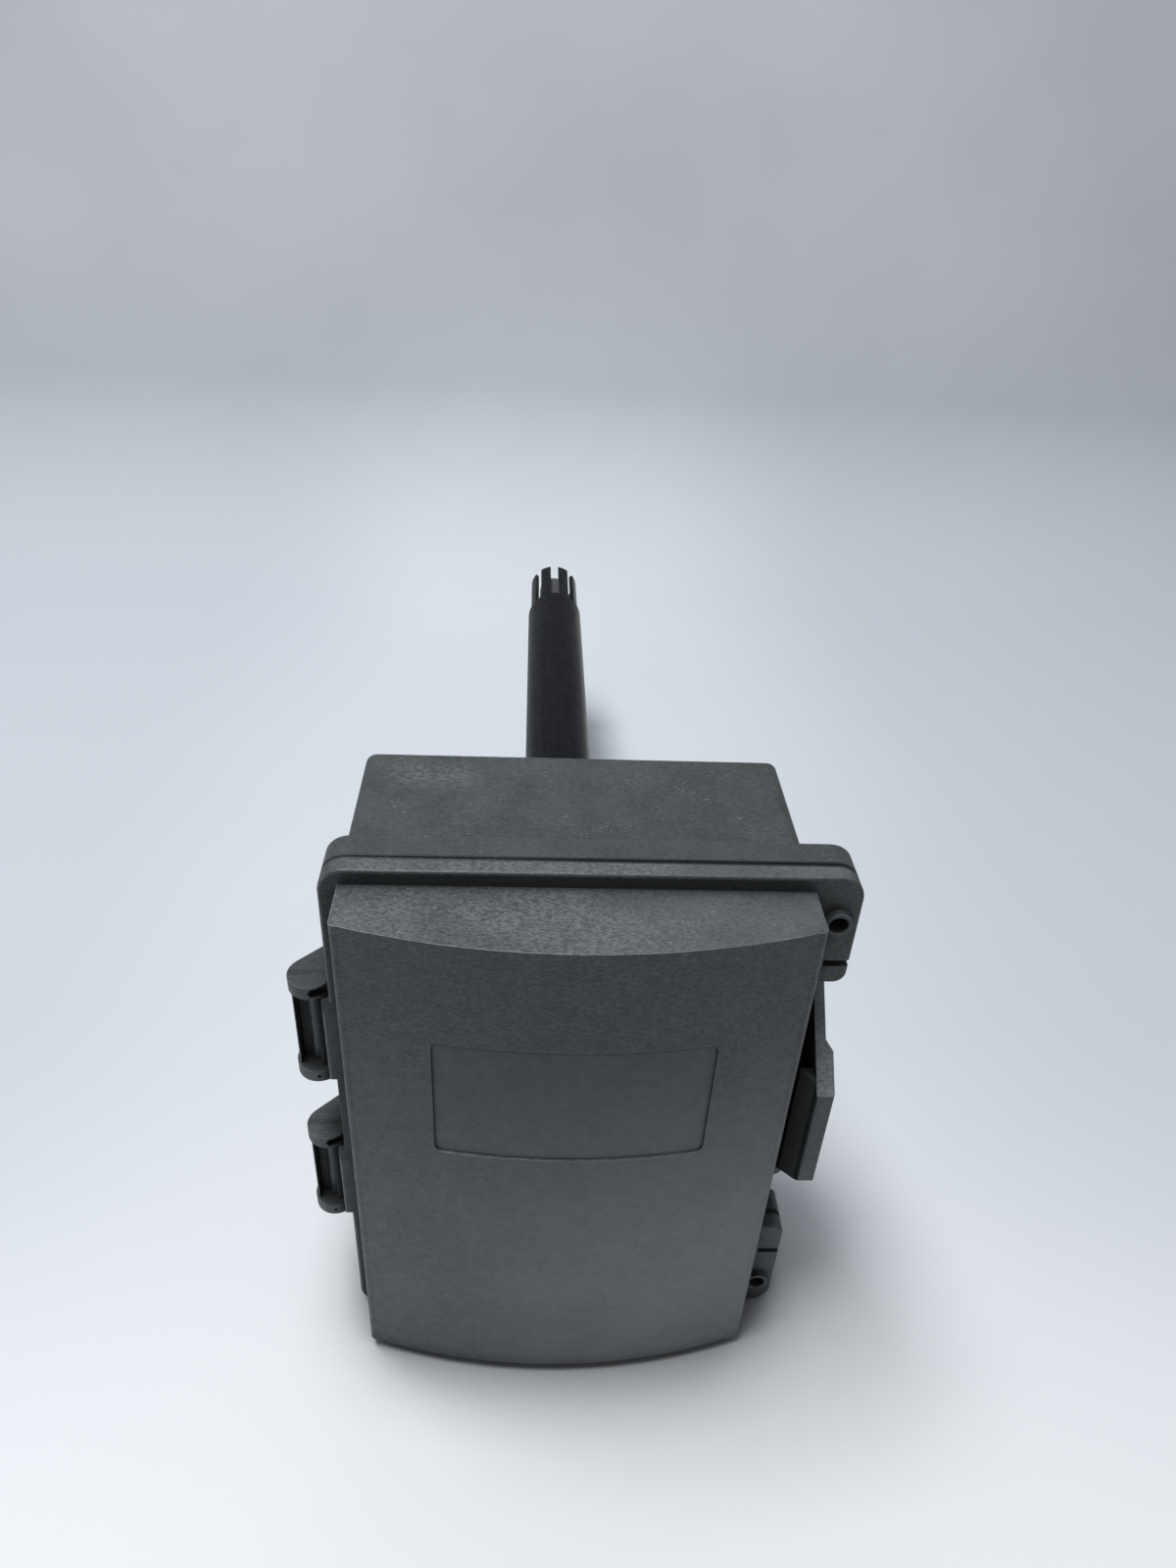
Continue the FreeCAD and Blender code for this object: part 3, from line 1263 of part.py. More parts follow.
def jumper_header():
    """Six square pins in a low strip, for choosing the output."""
    body = new_body("jumper_header")
    left = jumper_edge - board_wide / 2
    low = board_top - jumper_drop
    add_box(body, "header_strip", left, -(board_face + jumper_pitch), low, jumper_pitch * jumper_columns,
            jumper_pitch, jumper_pitch * jumper_rows)
    inset = (jumper_pitch - jumper_pin) / 2
    for column in range(jumper_columns):
        for row in range(jumper_rows):
            add_box(body, "header_pin_%d_%d" % (column, row), left + jumper_pitch * column + inset,
                    -(board_face + jumper_rise), low + jumper_pitch * row + inset,
                    jumper_pin, jumper_pin_long, jumper_pin)
    return body


def sensor_socket():
    """The socket on the board that takes the lead's plug."""
    body = new_body("sensor_socket")
    low = header_up + header_high
    left = -header_wide / 2
    front = -(board_face + header_deep)
    both_walls = header_wall * 2
    add_box(body, "socket_block", left, front, low, header_wide, header_deep, header_high)
    cut_box(body, "socket_hollow", left + header_wall, front + header_wall, low,
            header_wide - both_walls, header_deep - both_walls, header_high - header_floor)
    return body


def lead_plug():
    """The plug at the lead's end, seated in the socket."""
    body = new_body("lead_plug")
    inset = header_wall + plug_fit
    left = inset - header_wide / 2
    wide = header_wide - inset * 2
    add_box(body, "plug_tongue", left, inset - (board_face + header_deep), header_up,
            wide, header_deep - inset * 2, header_high * 2 - header_floor - plug_short)
    add_box(body, "plug_grip", left, plug_lip - (board_face + header_deep), header_up,
            wide, header_deep - plug_lip * 2, header_high - plug_lip)
    return body


rear_housing()
front_cover()
cover_gasket()
latch_lever()
straight_pin("latch_pin", latch_x, latch_y, ear_lows()[1], (latch_half + gap_clear + ear_plate) * 2)
for pin_name, pin_low in zip(("upper_hinge_pin", "lower_hinge_pin"), hinge_lows()):
    straight_pin(pin_name, hinge_x, hinge_y, pin_low, hinge_high - pin_cap)
lug_inserts()
probe_tube()
probe_crown()
probe_locknut()
flat_ring("probe_washer", -(back_wall + socket_rise + washer_thick), washer_radius,
          probe_radius + probe_play, washer_thick)
flat_ring("duct_seal", 0, duct_seal_radius, probe_radius + duct_seal_play, duct_seal_thick)
sensor_filter()
tip_plug()
tip_board()
humidity_element()
sensor_lead()
circuit_board()
board_screws()
terminal_block()
terminal_screws()
wire_clamps()
board_part("control_chip", -chip_left, board_top - chip_drop, chip_side, chip_side, chip_thick, chip_bevel)
board_part("voltage_regulator", regulator_right, regulator_up - board_bottom, regulator_wide, regulator_high,
           regulator_thick, regulator_bevel)
capacitors()
jumper_header()
sensor_socket()
lead_plug()

doc.recompute()
for item in doc.Objects:
    if "Invalid" in item.State or "Error" in item.State:
        raise RuntimeError("%s did not build: %s" % (item.Label, item.State))
os.makedirs("parts", exist_ok=True)
for node in nodes:
    if node.Shape.isNull() or not node.Shape.isValid():
        raise RuntimeError(node.Label + " has no valid shape")
    node.Shape.exportStep("parts/%s.step" % node.Label)
    print(node.Label, len(node.Shape.Solids), round(node.Shape.Volume, 1))
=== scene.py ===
import json
import math
import random

import bmesh
import bpy
from mathutils import Matrix, Vector


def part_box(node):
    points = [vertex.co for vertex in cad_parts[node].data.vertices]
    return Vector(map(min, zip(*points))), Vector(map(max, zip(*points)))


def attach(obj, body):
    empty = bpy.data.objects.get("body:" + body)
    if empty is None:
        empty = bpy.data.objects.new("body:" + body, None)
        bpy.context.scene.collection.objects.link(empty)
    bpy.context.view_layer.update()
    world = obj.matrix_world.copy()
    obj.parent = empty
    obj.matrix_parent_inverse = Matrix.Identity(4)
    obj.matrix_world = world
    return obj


# A duct humidity sensor: hinged plastic case, long round probe out of its back.
# Lengths are in metres, in the frame's own axes: X right, Y along the probe, Z up.

MM = 0.001
X, Y, Z = range(3)
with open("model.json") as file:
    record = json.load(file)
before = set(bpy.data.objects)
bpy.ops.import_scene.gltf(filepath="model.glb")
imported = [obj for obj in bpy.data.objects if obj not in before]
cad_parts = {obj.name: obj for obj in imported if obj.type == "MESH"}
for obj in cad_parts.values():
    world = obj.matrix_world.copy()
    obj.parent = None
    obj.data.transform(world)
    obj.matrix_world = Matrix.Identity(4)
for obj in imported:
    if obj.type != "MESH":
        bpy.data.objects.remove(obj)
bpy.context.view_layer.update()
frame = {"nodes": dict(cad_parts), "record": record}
nodes = frame["nodes"]

# Sockets of Blender's mix node that hold colours
MIX_FIRST = 6
MIX_SECOND = 7
MIX_RESULT = 2

# The surface shader's own sockets
SOCKETS = {
    "metallic": "Metallic",
    "specular": "Specular IOR Level",
    "coat": "Coat Weight",
    "sheen": "Sheen Weight",
    "sheen_roughness": "Sheen Roughness",
}

# The middle range of a noise, where nearly all of its values lie
NOISE_LOW, NOISE_HIGH = 0.3, 0.7

# Samples of the bevel and occlusion nodes, and the answers that count as none and as full
EDGE_SAMPLES = 6
EDGE_NONE, EDGE_FULL = 0.985, 0.80
WALL_SAMPLES = 5
WALL_NONE, WALL_FULL = 0.96, 0.40


def colour(red, green, blue):
    """A scene-linear colour with full alpha."""
    return (red, green, blue, 1.0)


class Shader:
    """A node material that is built step by step."""

    def __init__(self, name):
        self.material = bpy.data.materials.new(name)
        self.material.use_nodes = True
        self.tree = self.material.node_tree
        self.tree.nodes.clear()
        self.surface = self.add("ShaderNodeBsdfPrincipled")
        output = self.add("ShaderNodeOutputMaterial")
        self.link(self.surface.outputs["BSDF"], output.inputs["Surface"])
        self.place = self.add("ShaderNodeTexCoord").outputs["Object"]

    def add(self, kind, **settings):
        """Add one node and set its properties."""
        node = self.tree.nodes.new(kind)
        for key, value in settings.items():
            setattr(node, key, value)
        return node

    def link(self, start, end):
        """Link an output to an input."""
        self.tree.links.new(start, end)

    def feed(self, socket, value):
        """Link a socket to another, or set its number."""
        if isinstance(value, bpy.types.NodeSocket):
            self.link(value, socket)
        else:
            socket.default_value = value

    def math(self, operation, first, second=0.0):
        """Work one sum on one or two values."""
        node = self.add("ShaderNodeMath", operation=operation)
        self.feed(node.inputs[0], first)
        self.feed(node.inputs[1], second)
        return node.outputs[0]

    def times(self, *values):
        """Multiply any number of values."""
        product = values[0]
        for value in values[1:]:
            product = self.math("MULTIPLY", product, value)
        return product

    def rest_of(self, share):
        """One less a share."""
        return self.math("SUBTRACT", 1.0, share)

    def blend(self, share, first, second):
        """Blend two numbers by a fixed share."""
        return self.math("ADD", self.times(first, 1 - share), self.times(second, share))

    def mix(self, share, first, second):
        """Blend two colours by a share."""
        node = self.add("ShaderNodeMix", data_type="RGBA")
        self.feed(node.inputs["Factor"], share)
        self.feed(node.inputs[MIX_FIRST], first)
        self.feed(node.inputs[MIX_SECOND], second)
        return node.outputs[MIX_RESULT]

    def ramp(self, value, low, high, start=0.0, end=1.0):
        """Take a value from low..high to start..end, smoothly and clamped."""
        node = self.add("ShaderNodeMapRange", interpolation_type="SMOOTHSTEP", clamp=True)
        for name, number in (("From Min", low), ("From Max", high), ("To Min", start), ("To Max", end)):
            node.inputs[name].default_value = number
        self.link(value, node.inputs["Value"])
        return node.outputs["Result"]

    def noise(self, size, detail=2.0, stretch=(1, 1, 1), roughness=0.5, shift=0.0):
        """Noise whose grains are about one size. A shift sets it apart from other noise."""
        node = self.add("ShaderNodeTexNoise")
        node.inputs["Scale"].default_value = 1 / size
        node.inputs["Detail"].default_value = detail
        node.inputs["Roughness"].default_value = roughness
        self.link(self.stretched(stretch, shift), node.inputs["Vector"])
        return node.outputs["Fac"]

    def stretched(self, stretch, shift):
        """The place on the surface, scaled along each axis and shifted."""
        if tuple(stretch) == (1, 1, 1) and not shift:
            return self.place
        node = self.add("ShaderNodeMapping")
        node.inputs["Scale"].default_value = stretch
        node.inputs["Location"].default_value = (shift, shift, shift)
        self.link(self.place, node.inputs["Vector"])
        return node.outputs["Vector"]

    def cloudy(self, size, start=0.0, end=1.0, detail=2.0, shift=0.0):
        """A number that wanders from start to end over about one size."""
        return self.ramp(self.noise(size, detail, shift=shift), NOISE_LOW, NOISE_HIGH, start, end)

    def cells(self, size):
        """Distance from the middles of random cells of about one size."""
        node = self.add("ShaderNodeTexVoronoi")
        node.inputs["Scale"].default_value = 1 / size
        self.link(self.place, node.inputs["Vector"])
        return node.outputs["Distance"]

    def along(self, vector, axis):
        """One part of a vector."""
        split = self.add("ShaderNodeSeparateXYZ")
        self.link(vector, split.inputs[0])
        return split.outputs[axis]

    def facing(self, axis):
        """One part of the surface's direction, in the frame's axes with the part at rest."""
        return self.along(self.add("ShaderNodeTexCoord").outputs["Normal"], axis)

    def position(self, axis):
        """One part of the place on the surface, in the frame's axes with the part at rest."""
        return self.along(self.place, axis)

    def within(self, axis, low, high, soft):
        """1 between two places along an axis, falling to 0 outside them."""
        place = self.position(axis)
        beyond_low = self.ramp(place, low - soft, low + soft)
        short_of_high = self.ramp(place, high - soft, high + soft, 1.0, 0.0)
        return self.times(beyond_low, short_of_high)

    def edges(self, radius):
        """How near a surface is to a sharp edge, and its direction with the edges rounded."""
        rounded = self.add("ShaderNodeBevel", samples=EDGE_SAMPLES)
        rounded.inputs["Radius"].default_value = radius
        dot = self.add("ShaderNodeVectorMath", operation="DOT_PRODUCT")
        self.link(rounded.outputs[0], dot.inputs[0])
        self.link(self.add("ShaderNodeNewGeometry").outputs["Normal"], dot.inputs[1])
        return self.ramp(dot.outputs["Value"], EDGE_NONE, EDGE_FULL), rounded.outputs[0]

    def shut_in(self, reach, own_piece):
        """How far walls within one reach shut a place in, from 0 to 1."""
        node = self.add("ShaderNodeAmbientOcclusion", samples=WALL_SAMPLES, only_local=own_piece)
        node.inputs["Distance"].default_value = reach
        return self.ramp(node.outputs["AO"], WALL_NONE, WALL_FULL)

    def bump(self, height, distance, strength, below=None):
        """Raise the surface by a height, on top of another direction where one is given."""
        node = self.add("ShaderNodeBump")
        node.inputs["Strength"].default_value = strength
        node.inputs["Distance"].default_value = distance
        self.link(height, node.inputs["Height"])
        if below is not None:
            self.link(below, node.inputs["Normal"])
        return node.outputs["Normal"]

    def finish(self, base, roughness, normal, **numbers):
        """Set up the surface shader and give back the material."""
        self.feed(self.surface.inputs["Base Color"], base)
        self.feed(self.surface.inputs["Roughness"], roughness)
        self.link(normal, self.surface.inputs["Normal"])
        for key, value in numbers.items():
            self.surface.inputs[SOCKETS[key]].default_value = value
        return self.material


# Moulded plastic of the case, the cover and the latch

CASE_DARK = colour(0.0195, 0.0250, 0.0275)
CASE_LIGHT = colour(0.050, 0.060, 0.064)
# Painted shade, laid into creases, gaps, under the recess's top edge and on the upper front
PAINTED_SHADE = colour(0.005, 0.0066, 0.0074)
# Pale dust, also laid on upward faces as painted light from above
PALE_DUST_AND_LIGHT = colour(0.252, 0.278, 0.293)
# Painted light on the lower part of the raised front
PAINTED_FRONT_LIGHT = colour(0.260, 0.266, 0.278)
# Pale wear, also used as painted highlight on edges and corners
PALE_WEAR_AND_LIGHT = colour(0.27, 0.28, 0.29)
# Painted glints and edge highlights, and pale crumbs
SPECK_AND_GLINT = colour(0.55, 0.56, 0.57)

# Sizes of the grain, patches and specks, and how far the mould drew them out along X
GRAIN = 0.5 * MM
GRAIN_DRAWN = (0.42, 1, 1)
GRIT = 0.40 * MM
GRIT_DRAWN = (0.45, 1, 1)
GLINT = 0.50 * MM
CRUMB = 0.6 * MM
RUB = 0.9 * MM
DRAWN = (0.5, 1, 1)
NIBBLE = 1.4 * MM
GLOSS_PATCH = 2.5 * MM
CLUSTER = 7 * MM
MOTTLE = 12 * MM
DUST_AND_LIGHT_PATCH = 16 * MM
HIGHLIGHT_STRETCH = 18 * MM

# Edges, inner corners and gaps
CASE_EDGE = 0.28 * MM
CREASE_REACH = 0.32 * MM
GAP_REACH = 9 * MM

# Places on the case: the gap between the flanges, the raised front, the recess and the rubbed patch
PARTING_FRONT = -43.1 * MM
PARTING_REAR = -42.6 * MM
# Width of the painted shade on each side of the gap
PARTING_SHADE = 0.55 * MM
PARTING_SOFT = 0.1 * MM
RAISED_START = -52 * MM
RAISED_FRONT = -56 * MM
RAISED_STEP = 5 * MM
RECESS_TOP = 43.15 * MM
RECESS_FOOT = 10.45 * MM
RECESS_SIDE = 28.5 * MM
RECESS_SOFT = 0.3 * MM
LEDGE_TOP = RECESS_TOP - 0.1 * MM
LEDGE_FOOT = RECESS_TOP - 1.0 * MM
LEDGE_SOFT = 0.12 * MM
SCUFF_LEFT = -41 * MM
SCUFF_RIGHT = -22 * MM
SCUFF_FRONT = -13 * MM
SCUFF_REAR = -5 * MM
SCUFF_SOFT = 3 * MM


class MouldedPlastic(Shader):
    """Dull grey plastic from a spark-eroded mould, built up in layers of dust, crumbs, wear, painted
    light and painted shade.
    """

    def __init__(self, name, settles):
        """settles is how far up a face has to look before dust and painted top light lie on it."""
        super().__init__(name)
        self.grain = self.ramp(self.noise(GRAIN, 3.0, GRAIN_DRAWN, roughness=0.65), 0.36, 0.64)
        mottle = self.ramp(self.noise(MOTTLE, 4.0, roughness=0.6), 0.36, 0.64)
        self.base = self.mix(self.blend(0.35, self.grain, mottle), CASE_DARK, CASE_LIGHT)
        self.upward = self.ramp(self.facing(Z), settles, settles + 0.22)
        self.patches = self.cloudy(DUST_AND_LIGHT_PATCH, 0.45, 1.0, detail=3.0, shift=2.0)
        self.edge, self.rounded = self.edges(CASE_EDGE)
        self.nibbled = self.ramp(self.noise(NIBBLE), 0.3, 0.6, 0.4, 1.0)
        self.crease = self.shut_in(CREASE_REACH, True)

    def coat(self, share, tint):
        """Lay a colour over the surface by a share."""
        self.base = self.mix(share, self.base, tint)

    def forward(self):
        """How squarely the surface faces forward, against Y."""
        return self.ramp(self.facing(Y), -0.6, -0.95)

    def low_share(self):
        """How low a place is, from 0 at the top to 1 near the foot."""
        return self.ramp(self.position(Z), 50 * MM, -40 * MM)

    def raised(self):
        """How far a place lies on the raised front, from a quarter behind it to 1 on it."""
        return self.ramp(self.position(Y), RAISED_FRONT + RAISED_STEP, RAISED_FRONT, 0.25, 1.0)

    def across_recess(self):
        """1 between the sides of the recess."""
        return self.within(X, -RECESS_SIDE, RECESS_SIDE, RECESS_SOFT)

    def shade_upper_front(self):
        """Paint shade on the upper front, under pale specks, which are coarse above the smooth recess."""
        forward = self.forward()
        higher = self.times(forward, self.rest_of(self.low_share()))
        in_recess = self.times(self.across_recess(), self.within(Z, RECESS_FOOT, RECESS_TOP, RECESS_SOFT))
        above = self.ramp(self.position(Z), 15 * MM, 50 * MM, 0.4, 1.0)
        coarse = self.times(self.rest_of(self.times(in_recess, 0.75)), above)
        specks = self.math("ADD", self.times(coarse, self.grain, self.grain, 0.056), 0.020)
        self.coat(self.times(higher, 0.95), CASE_DARK)
        self.coat(self.times(higher, coarse, self.rest_of(self.grain), 0.80), PAINTED_SHADE)
        self.coat(self.times(self.blend(0.5, forward, higher), specks), PALE_DUST_AND_LIGHT)

    def lighten_upward_faces(self, dust_and_top_light):
        """Lighten what faces up with dust and painted light from above, gritty on the left and even on
        the right.
        """
        grit = self.noise(GRIT, stretch=GRIT_DRAWN, roughness=0.7, shift=5.0)
        grit = self.ramp(grit, 0.38, 0.62, 0.1, 1.2)
        evener = self.ramp(self.position(X), -15 * MM, 45 * MM, 0.0, 0.65)
        # dust is the share of dust and of painted top light
        dust = self.math("ADD", self.times(grit, self.rest_of(evener)), self.times(evener, 0.65))
        self.coat(self.times(self.upward, self.patches, dust, dust_and_top_light), PALE_DUST_AND_LIGHT)

    def light_lower_front(self, lower_front_light):
        """Paint light on the lower part of the raised front, more so on the right."""
        right_share = self.ramp(self.position(X), -45 * MM, 30 * MM, 0.25, 1.0)
        patchy = self.ramp(self.patches, 0.4, 1.0, 0.88, 1.0)
        lower_front = self.times(self.forward(), self.raised(), self.low_share())
        self.coat(self.times(lower_front, right_share, patchy, lower_front_light), PAINTED_FRONT_LIGHT)

    def add_glints(self):
        """Scatter clusters of painted glints, mostly on what faces up."""
        glints = self.noise(GLINT, stretch=DRAWN, roughness=0.6, shift=9.0)
        clusters = self.ramp(self.noise(CLUSTER, 3.0, shift=3.0), 0.48, 0.66)
        upper_share = self.ramp(self.facing(Z), 0.2, 0.9, 0.04, 0.32)
        self.coat(self.times(self.ramp(glints, 0.62, 0.74), clusters, upper_share), SPECK_AND_GLINT)

    def rub_patch(self, scuff):
        """Rub a pale patch into the top, at the left near the back."""
        across = self.within(X, SCUFF_LEFT, SCUFF_RIGHT, SCUFF_SOFT)
        along = self.within(Y, SCUFF_FRONT, SCUFF_REAR, SCUFF_SOFT)
        rubbed = self.ramp(self.noise(RUB, 4.0, DRAWN, roughness=0.7), 0.42, 0.62)
        self.coat(self.times(across, along, self.upward, rubbed, scuff), PALE_WEAR_AND_LIGHT)

    def wear_and_light_edges(self, lit):
        """Lighten the sharp edges with wear and painted highlight, and paint brighter highlights on
        stretches of those that face up.
        """
        self.coat(self.times(self.edge, self.nibbled, 0.45), PALE_WEAR_AND_LIGHT)
        facing_up = self.ramp(self.along(self.rounded, Z), 0.15, 0.5)
        stretches = self.ramp(self.noise(HIGHLIGHT_STRETCH, shift=7.0), 0.35, 0.6, 0.35, 1.0)
        clean = self.rest_of(self.crease)
        self.coat(self.times(self.edge, facing_up, self.nibbled, stretches, clean, lit), SPECK_AND_GLINT)

    def light_left_corner(self):
        """Paint a highlight, nibbled like wear, on the flange's corner that faces left and forward."""
        left = self.ramp(self.facing(X), -0.35, -0.65)
        front = self.ramp(self.facing(Y), -0.35, -0.65)
        self.coat(self.times(left, front, self.nibbled, self.rest_of(self.raised()), 0.5), PALE_WEAR_AND_LIGHT)

    def shade_ledge(self):
        """Shade the recess just under its top edge."""
        ledge = self.within(Z, LEDGE_FOOT, LEDGE_TOP, LEDGE_SOFT)
        self.coat(self.times(self.forward(), ledge, self.across_recess(), 0.9), PAINTED_SHADE)

    def shade_creases(self):
        """Paint shade into inner corners, less where they face up, and lay pale crumbs where they face up
        on the left.
        """
        shade_share = self.ramp(self.facing(Z), 0.3, 0.9, 0.75, 0.25)
        self.coat(self.times(self.crease, shade_share), PAINTED_SHADE)
        crumbs = self.ramp(self.noise(CRUMB, stretch=DRAWN, shift=11.0), 0.52, 0.66)
        left = self.ramp(self.position(X), 30 * MM, -50 * MM)
        self.coat(self.times(self.crease, self.upward, crumbs, left, 0.8), SPECK_AND_GLINT)

    def shade_gaps(self, flanged):
        """Paint shade where other pieces shut a place in, and on a flanged piece along the gap between
        the flanges, except on the raised front's top, and say how far.
        """
        raised_top = self.times(self.upward, self.ramp(self.position(Y), RAISED_START, RAISED_FRONT))
        deep = self.times(self.shut_in(GAP_REACH, False), self.rest_of(raised_top))
        if flanged:
            front = PARTING_FRONT - PARTING_SHADE
            rear = PARTING_REAR + PARTING_SHADE
            parting = self.within(Y, front, rear, PARTING_SOFT)
            more_right = self.ramp(self.position(X), -55 * MM, 20 * MM, 0.5, 1.0)
            deep = self.math("MAXIMUM", deep, self.times(parting, more_right))
        self.coat(self.times(deep, 0.95), PAINTED_SHADE)
        return deep

    def finished(self, deep):
        """The material, duller where it lies deep, with a fine grain in relief."""
        rough = self.math("ADD", self.cloudy(GLOSS_PATCH, 0.46, 0.58), self.times(deep, 0.4))
        relief = self.bump(self.noise(GRAIN), 0.05 * MM, 0.6, self.rounded)
        return self.finish(self.base, rough, relief, specular=0.48)


def moulded_plastic(name, dust_and_top_light, lit, lower_front_light=0.0, scuff=0.0, settles=0.75, flanged=True):
    """The case's plastic, with more or less dust, wear, painted light and painted shade.

    dust_and_top_light is how much dust and painted light from above lie on upward faces, and lit
    how much painted highlight an edge that faces up gets. lower_front_light is how much painted
    light lies on the lower front, and says that the piece has the raised front. scuff is how much
    the rubbed patch shows. settles is how far up a face has to look before dust and painted top
    light lie on it, and flanged says that the piece meets another at the gap between the flanges.
    """
    s = MouldedPlastic(name, settles)
    if lower_front_light:
        s.shade_upper_front()
    s.lighten_upward_faces(dust_and_top_light)
    if lower_front_light:
        s.light_lower_front(lower_front_light)
    s.add_glints()
    if scuff:
        s.rub_patch(scuff)
    s.wear_and_light_edges(lit)
    if lower_front_light:
        s.light_left_corner()
        s.shade_ledge()
    s.shade_creases()
    return s.finished(s.shade_gaps(flanged))


# The other finishes

PROBE_DARK = colour(0.005, 0.006, 0.007)
PROBE_LIGHT = colour(0.009, 0.010, 0.012)
PROBE_LINE = 0.8 * MM
PROBE_EDGE = 0.25 * MM
METAL_EDGE = 0.12 * MM
SPECKLED_EDGE = 0.15 * MM
CLOTH_DARK = colour(0.20, 0.20, 0.205)
CLOTH_LIGHT = colour(0.33, 0.33, 0.34)
CLOTH_HOLE = colour(0.02, 0.02, 0.021)
CLOTH_PITCH = 0.55 * MM
CLOTH_WAVES = 142
MASK_DARK = colour(0.012, 0.095, 0.040)
MASK_LIGHT = colour(0.020, 0.135, 0.058)
GLASS_FIBRE = colour(0.10, 0.28, 0.14)
GLASS_PITCH = 0.9 * MM


def satin_plastic(name, dark, light, roughness):
    """Smooth dark plastic with faint drawn lines along the probe."""
    s = Shader(name)
    lines = s.noise(PROBE_LINE, stretch=(1, 0.03, 1))
    base = s.mix(s.ramp(lines, 0.35, 0.65), dark, light)
    edge, rounded = s.edges(PROBE_EDGE)
    # Painted highlight: the sharp edges lightened toward the case's lighter colour
    base = s.mix(s.times(edge, 0.15), base, CASE_LIGHT)
    rough = s.cloudy(5 * MM, roughness - 0.05, roughness + 0.07, detail=3.0)
    relief = s.bump(lines, 0.02 * MM, 0.3, rounded)
    return s.finish(base, rough, relief, specular=0.06, sheen=0.22, sheen_roughness=0.28)


def soft_rubber(name, dark, light, pore, depth):
    """Matt rubber or closed-cell foam with small pores and a little dust."""
    s = Shader(name)
    pores = s.cells(pore)
    tone = s.ramp(s.noise(6 * MM, 3.0), 0.35, 0.65)
    base = s.mix(s.times(tone, s.ramp(pores, 0.1, 0.5)), dark, light)
    return s.finish(base, s.cloudy(3 * MM, 0.72, 0.86), s.bump(pores, depth, 0.7), specular=0.25)


def metal(name, dark, light, roughness, grain, stretch):
    """Bare or plated metal with drawn or turned marks."""
    s = Shader(name)
    marks = s.noise(grain, 3.0, stretch)
    base = s.mix(s.ramp(marks, NOISE_LOW, NOISE_HIGH), dark, light)
    rough = s.cloudy(2 * MM, roughness - 0.06, roughness + 0.08, shift=1.0)
    _, rounded = s.edges(METAL_EDGE)
    return s.finish(base, rough, s.bump(marks, 0.01 * MM, 0.4, rounded), metallic=1.0)


def speckled(name, dark, light, grain, roughness):
    """A plain moulded, printed or fired surface with fine grain and cloudy tone."""
    s = Shader(name)
    fine = s.noise(grain, 3.0)
    broad = s.noise(grain * 12, 3.0, shift=4.0)
    base = s.mix(s.ramp(s.blend(0.5, fine, broad), 0.38, 0.62), dark, light)
    rough = s.ramp(broad, NOISE_LOW, NOISE_HIGH, roughness - 0.05, roughness + 0.06)
    edge, rounded = s.edges(SPECKLED_EDGE)
    # Painted highlight: the sharp edges lightened toward the lighter colour
    base = s.mix(s.times(edge, 0.2), base, light)
    return s.finish(base, rough, s.bump(fine, 0.02 * MM, 0.5, rounded), specular=0.4)


def filter_mesh():
    """Fine woven metal cloth round the sensing end."""
    s = Shader("filter_mesh")
    turn = s.math("ARCTAN2", s.position(X), s.position(Z))
    around = s.math("SINE", s.times(turn, CLOTH_WAVES))
    along = s.math("SINE", s.times(s.position(Y), 2 * math.pi / CLOTH_PITCH))
    weave = s.math("MAXIMUM", around, along)
    dirt = s.ramp(s.noise(3 * MM, 3.0), 0.35, 0.65)
    wire = s.mix(dirt, CLOTH_DARK, CLOTH_LIGHT)
    base = s.mix(s.ramp(weave, 0.1, 0.6), CLOTH_HOLE, wire)
    return s.finish(base, s.ramp(dirt, 0, 1, 0.38, 0.5), s.bump(weave, 0.08 * MM, 0.8), metallic=0.7)


def board_laminate():
    """Green solder mask over woven glass."""
    s = Shader("board_laminate")
    weave_x = s.math("SINE", s.times(s.position(X), 2 * math.pi / GLASS_PITCH))
    weave_z = s.math("SINE", s.times(s.position(Z), 2 * math.pi / GLASS_PITCH))
    weave = s.times(weave_x, weave_z)
    tone = s.ramp(s.noise(9 * MM, 3.0), 0.35, 0.65)
    base = s.mix(tone, MASK_DARK, MASK_LIGHT)
    base = s.mix(s.ramp(weave, 0.2, 1.0, 0.0, 0.12), base, GLASS_FIBRE)
    return s.finish(base, s.cloudy(2 * MM, 0.24, 0.34), s.bump(weave, 0.01 * MM, 0.3), coat=0.3)


# Each with its darker and lighter colour, the size of its grain, and its roughness.
# masked_copper is copper under solder mask, and tan_ceramic the body of a small capacitor.
SPECKLED = {
    "pin_plastic": (CASE_DARK, CASE_LIGHT, 0.3 * MM, 0.42),
    "element_ceramic": (colour(0.54, 0.54, 0.51), colour(0.66, 0.66, 0.63), 0.1 * MM, 0.6),
    "lead_sleeve": (colour(0.09, 0.09, 0.09), colour(0.15, 0.15, 0.15), 0.4 * MM, 0.5),
    "socket_plastic": (colour(0.66, 0.63, 0.54), colour(0.78, 0.76, 0.68), 0.3 * MM, 0.4),
    "terminal_plastic": (colour(0.025, 0.18, 0.08), colour(0.045, 0.26, 0.12), 0.25 * MM, 0.42),
    "chip_black": (colour(0.014, 0.014, 0.015), colour(0.026, 0.026, 0.028), 0.12 * MM, 0.48),
    "masked_copper": (colour(0.030, 0.165, 0.075), colour(0.045, 0.21, 0.10), 0.5 * MM, 0.28),
    "board_ink": (colour(0.60, 0.60, 0.57), colour(0.74, 0.74, 0.71), 0.15 * MM, 0.6),
    "tan_ceramic": (colour(0.26, 0.18, 0.10), colour(0.36, 0.26, 0.16), 0.12 * MM, 0.45),
}

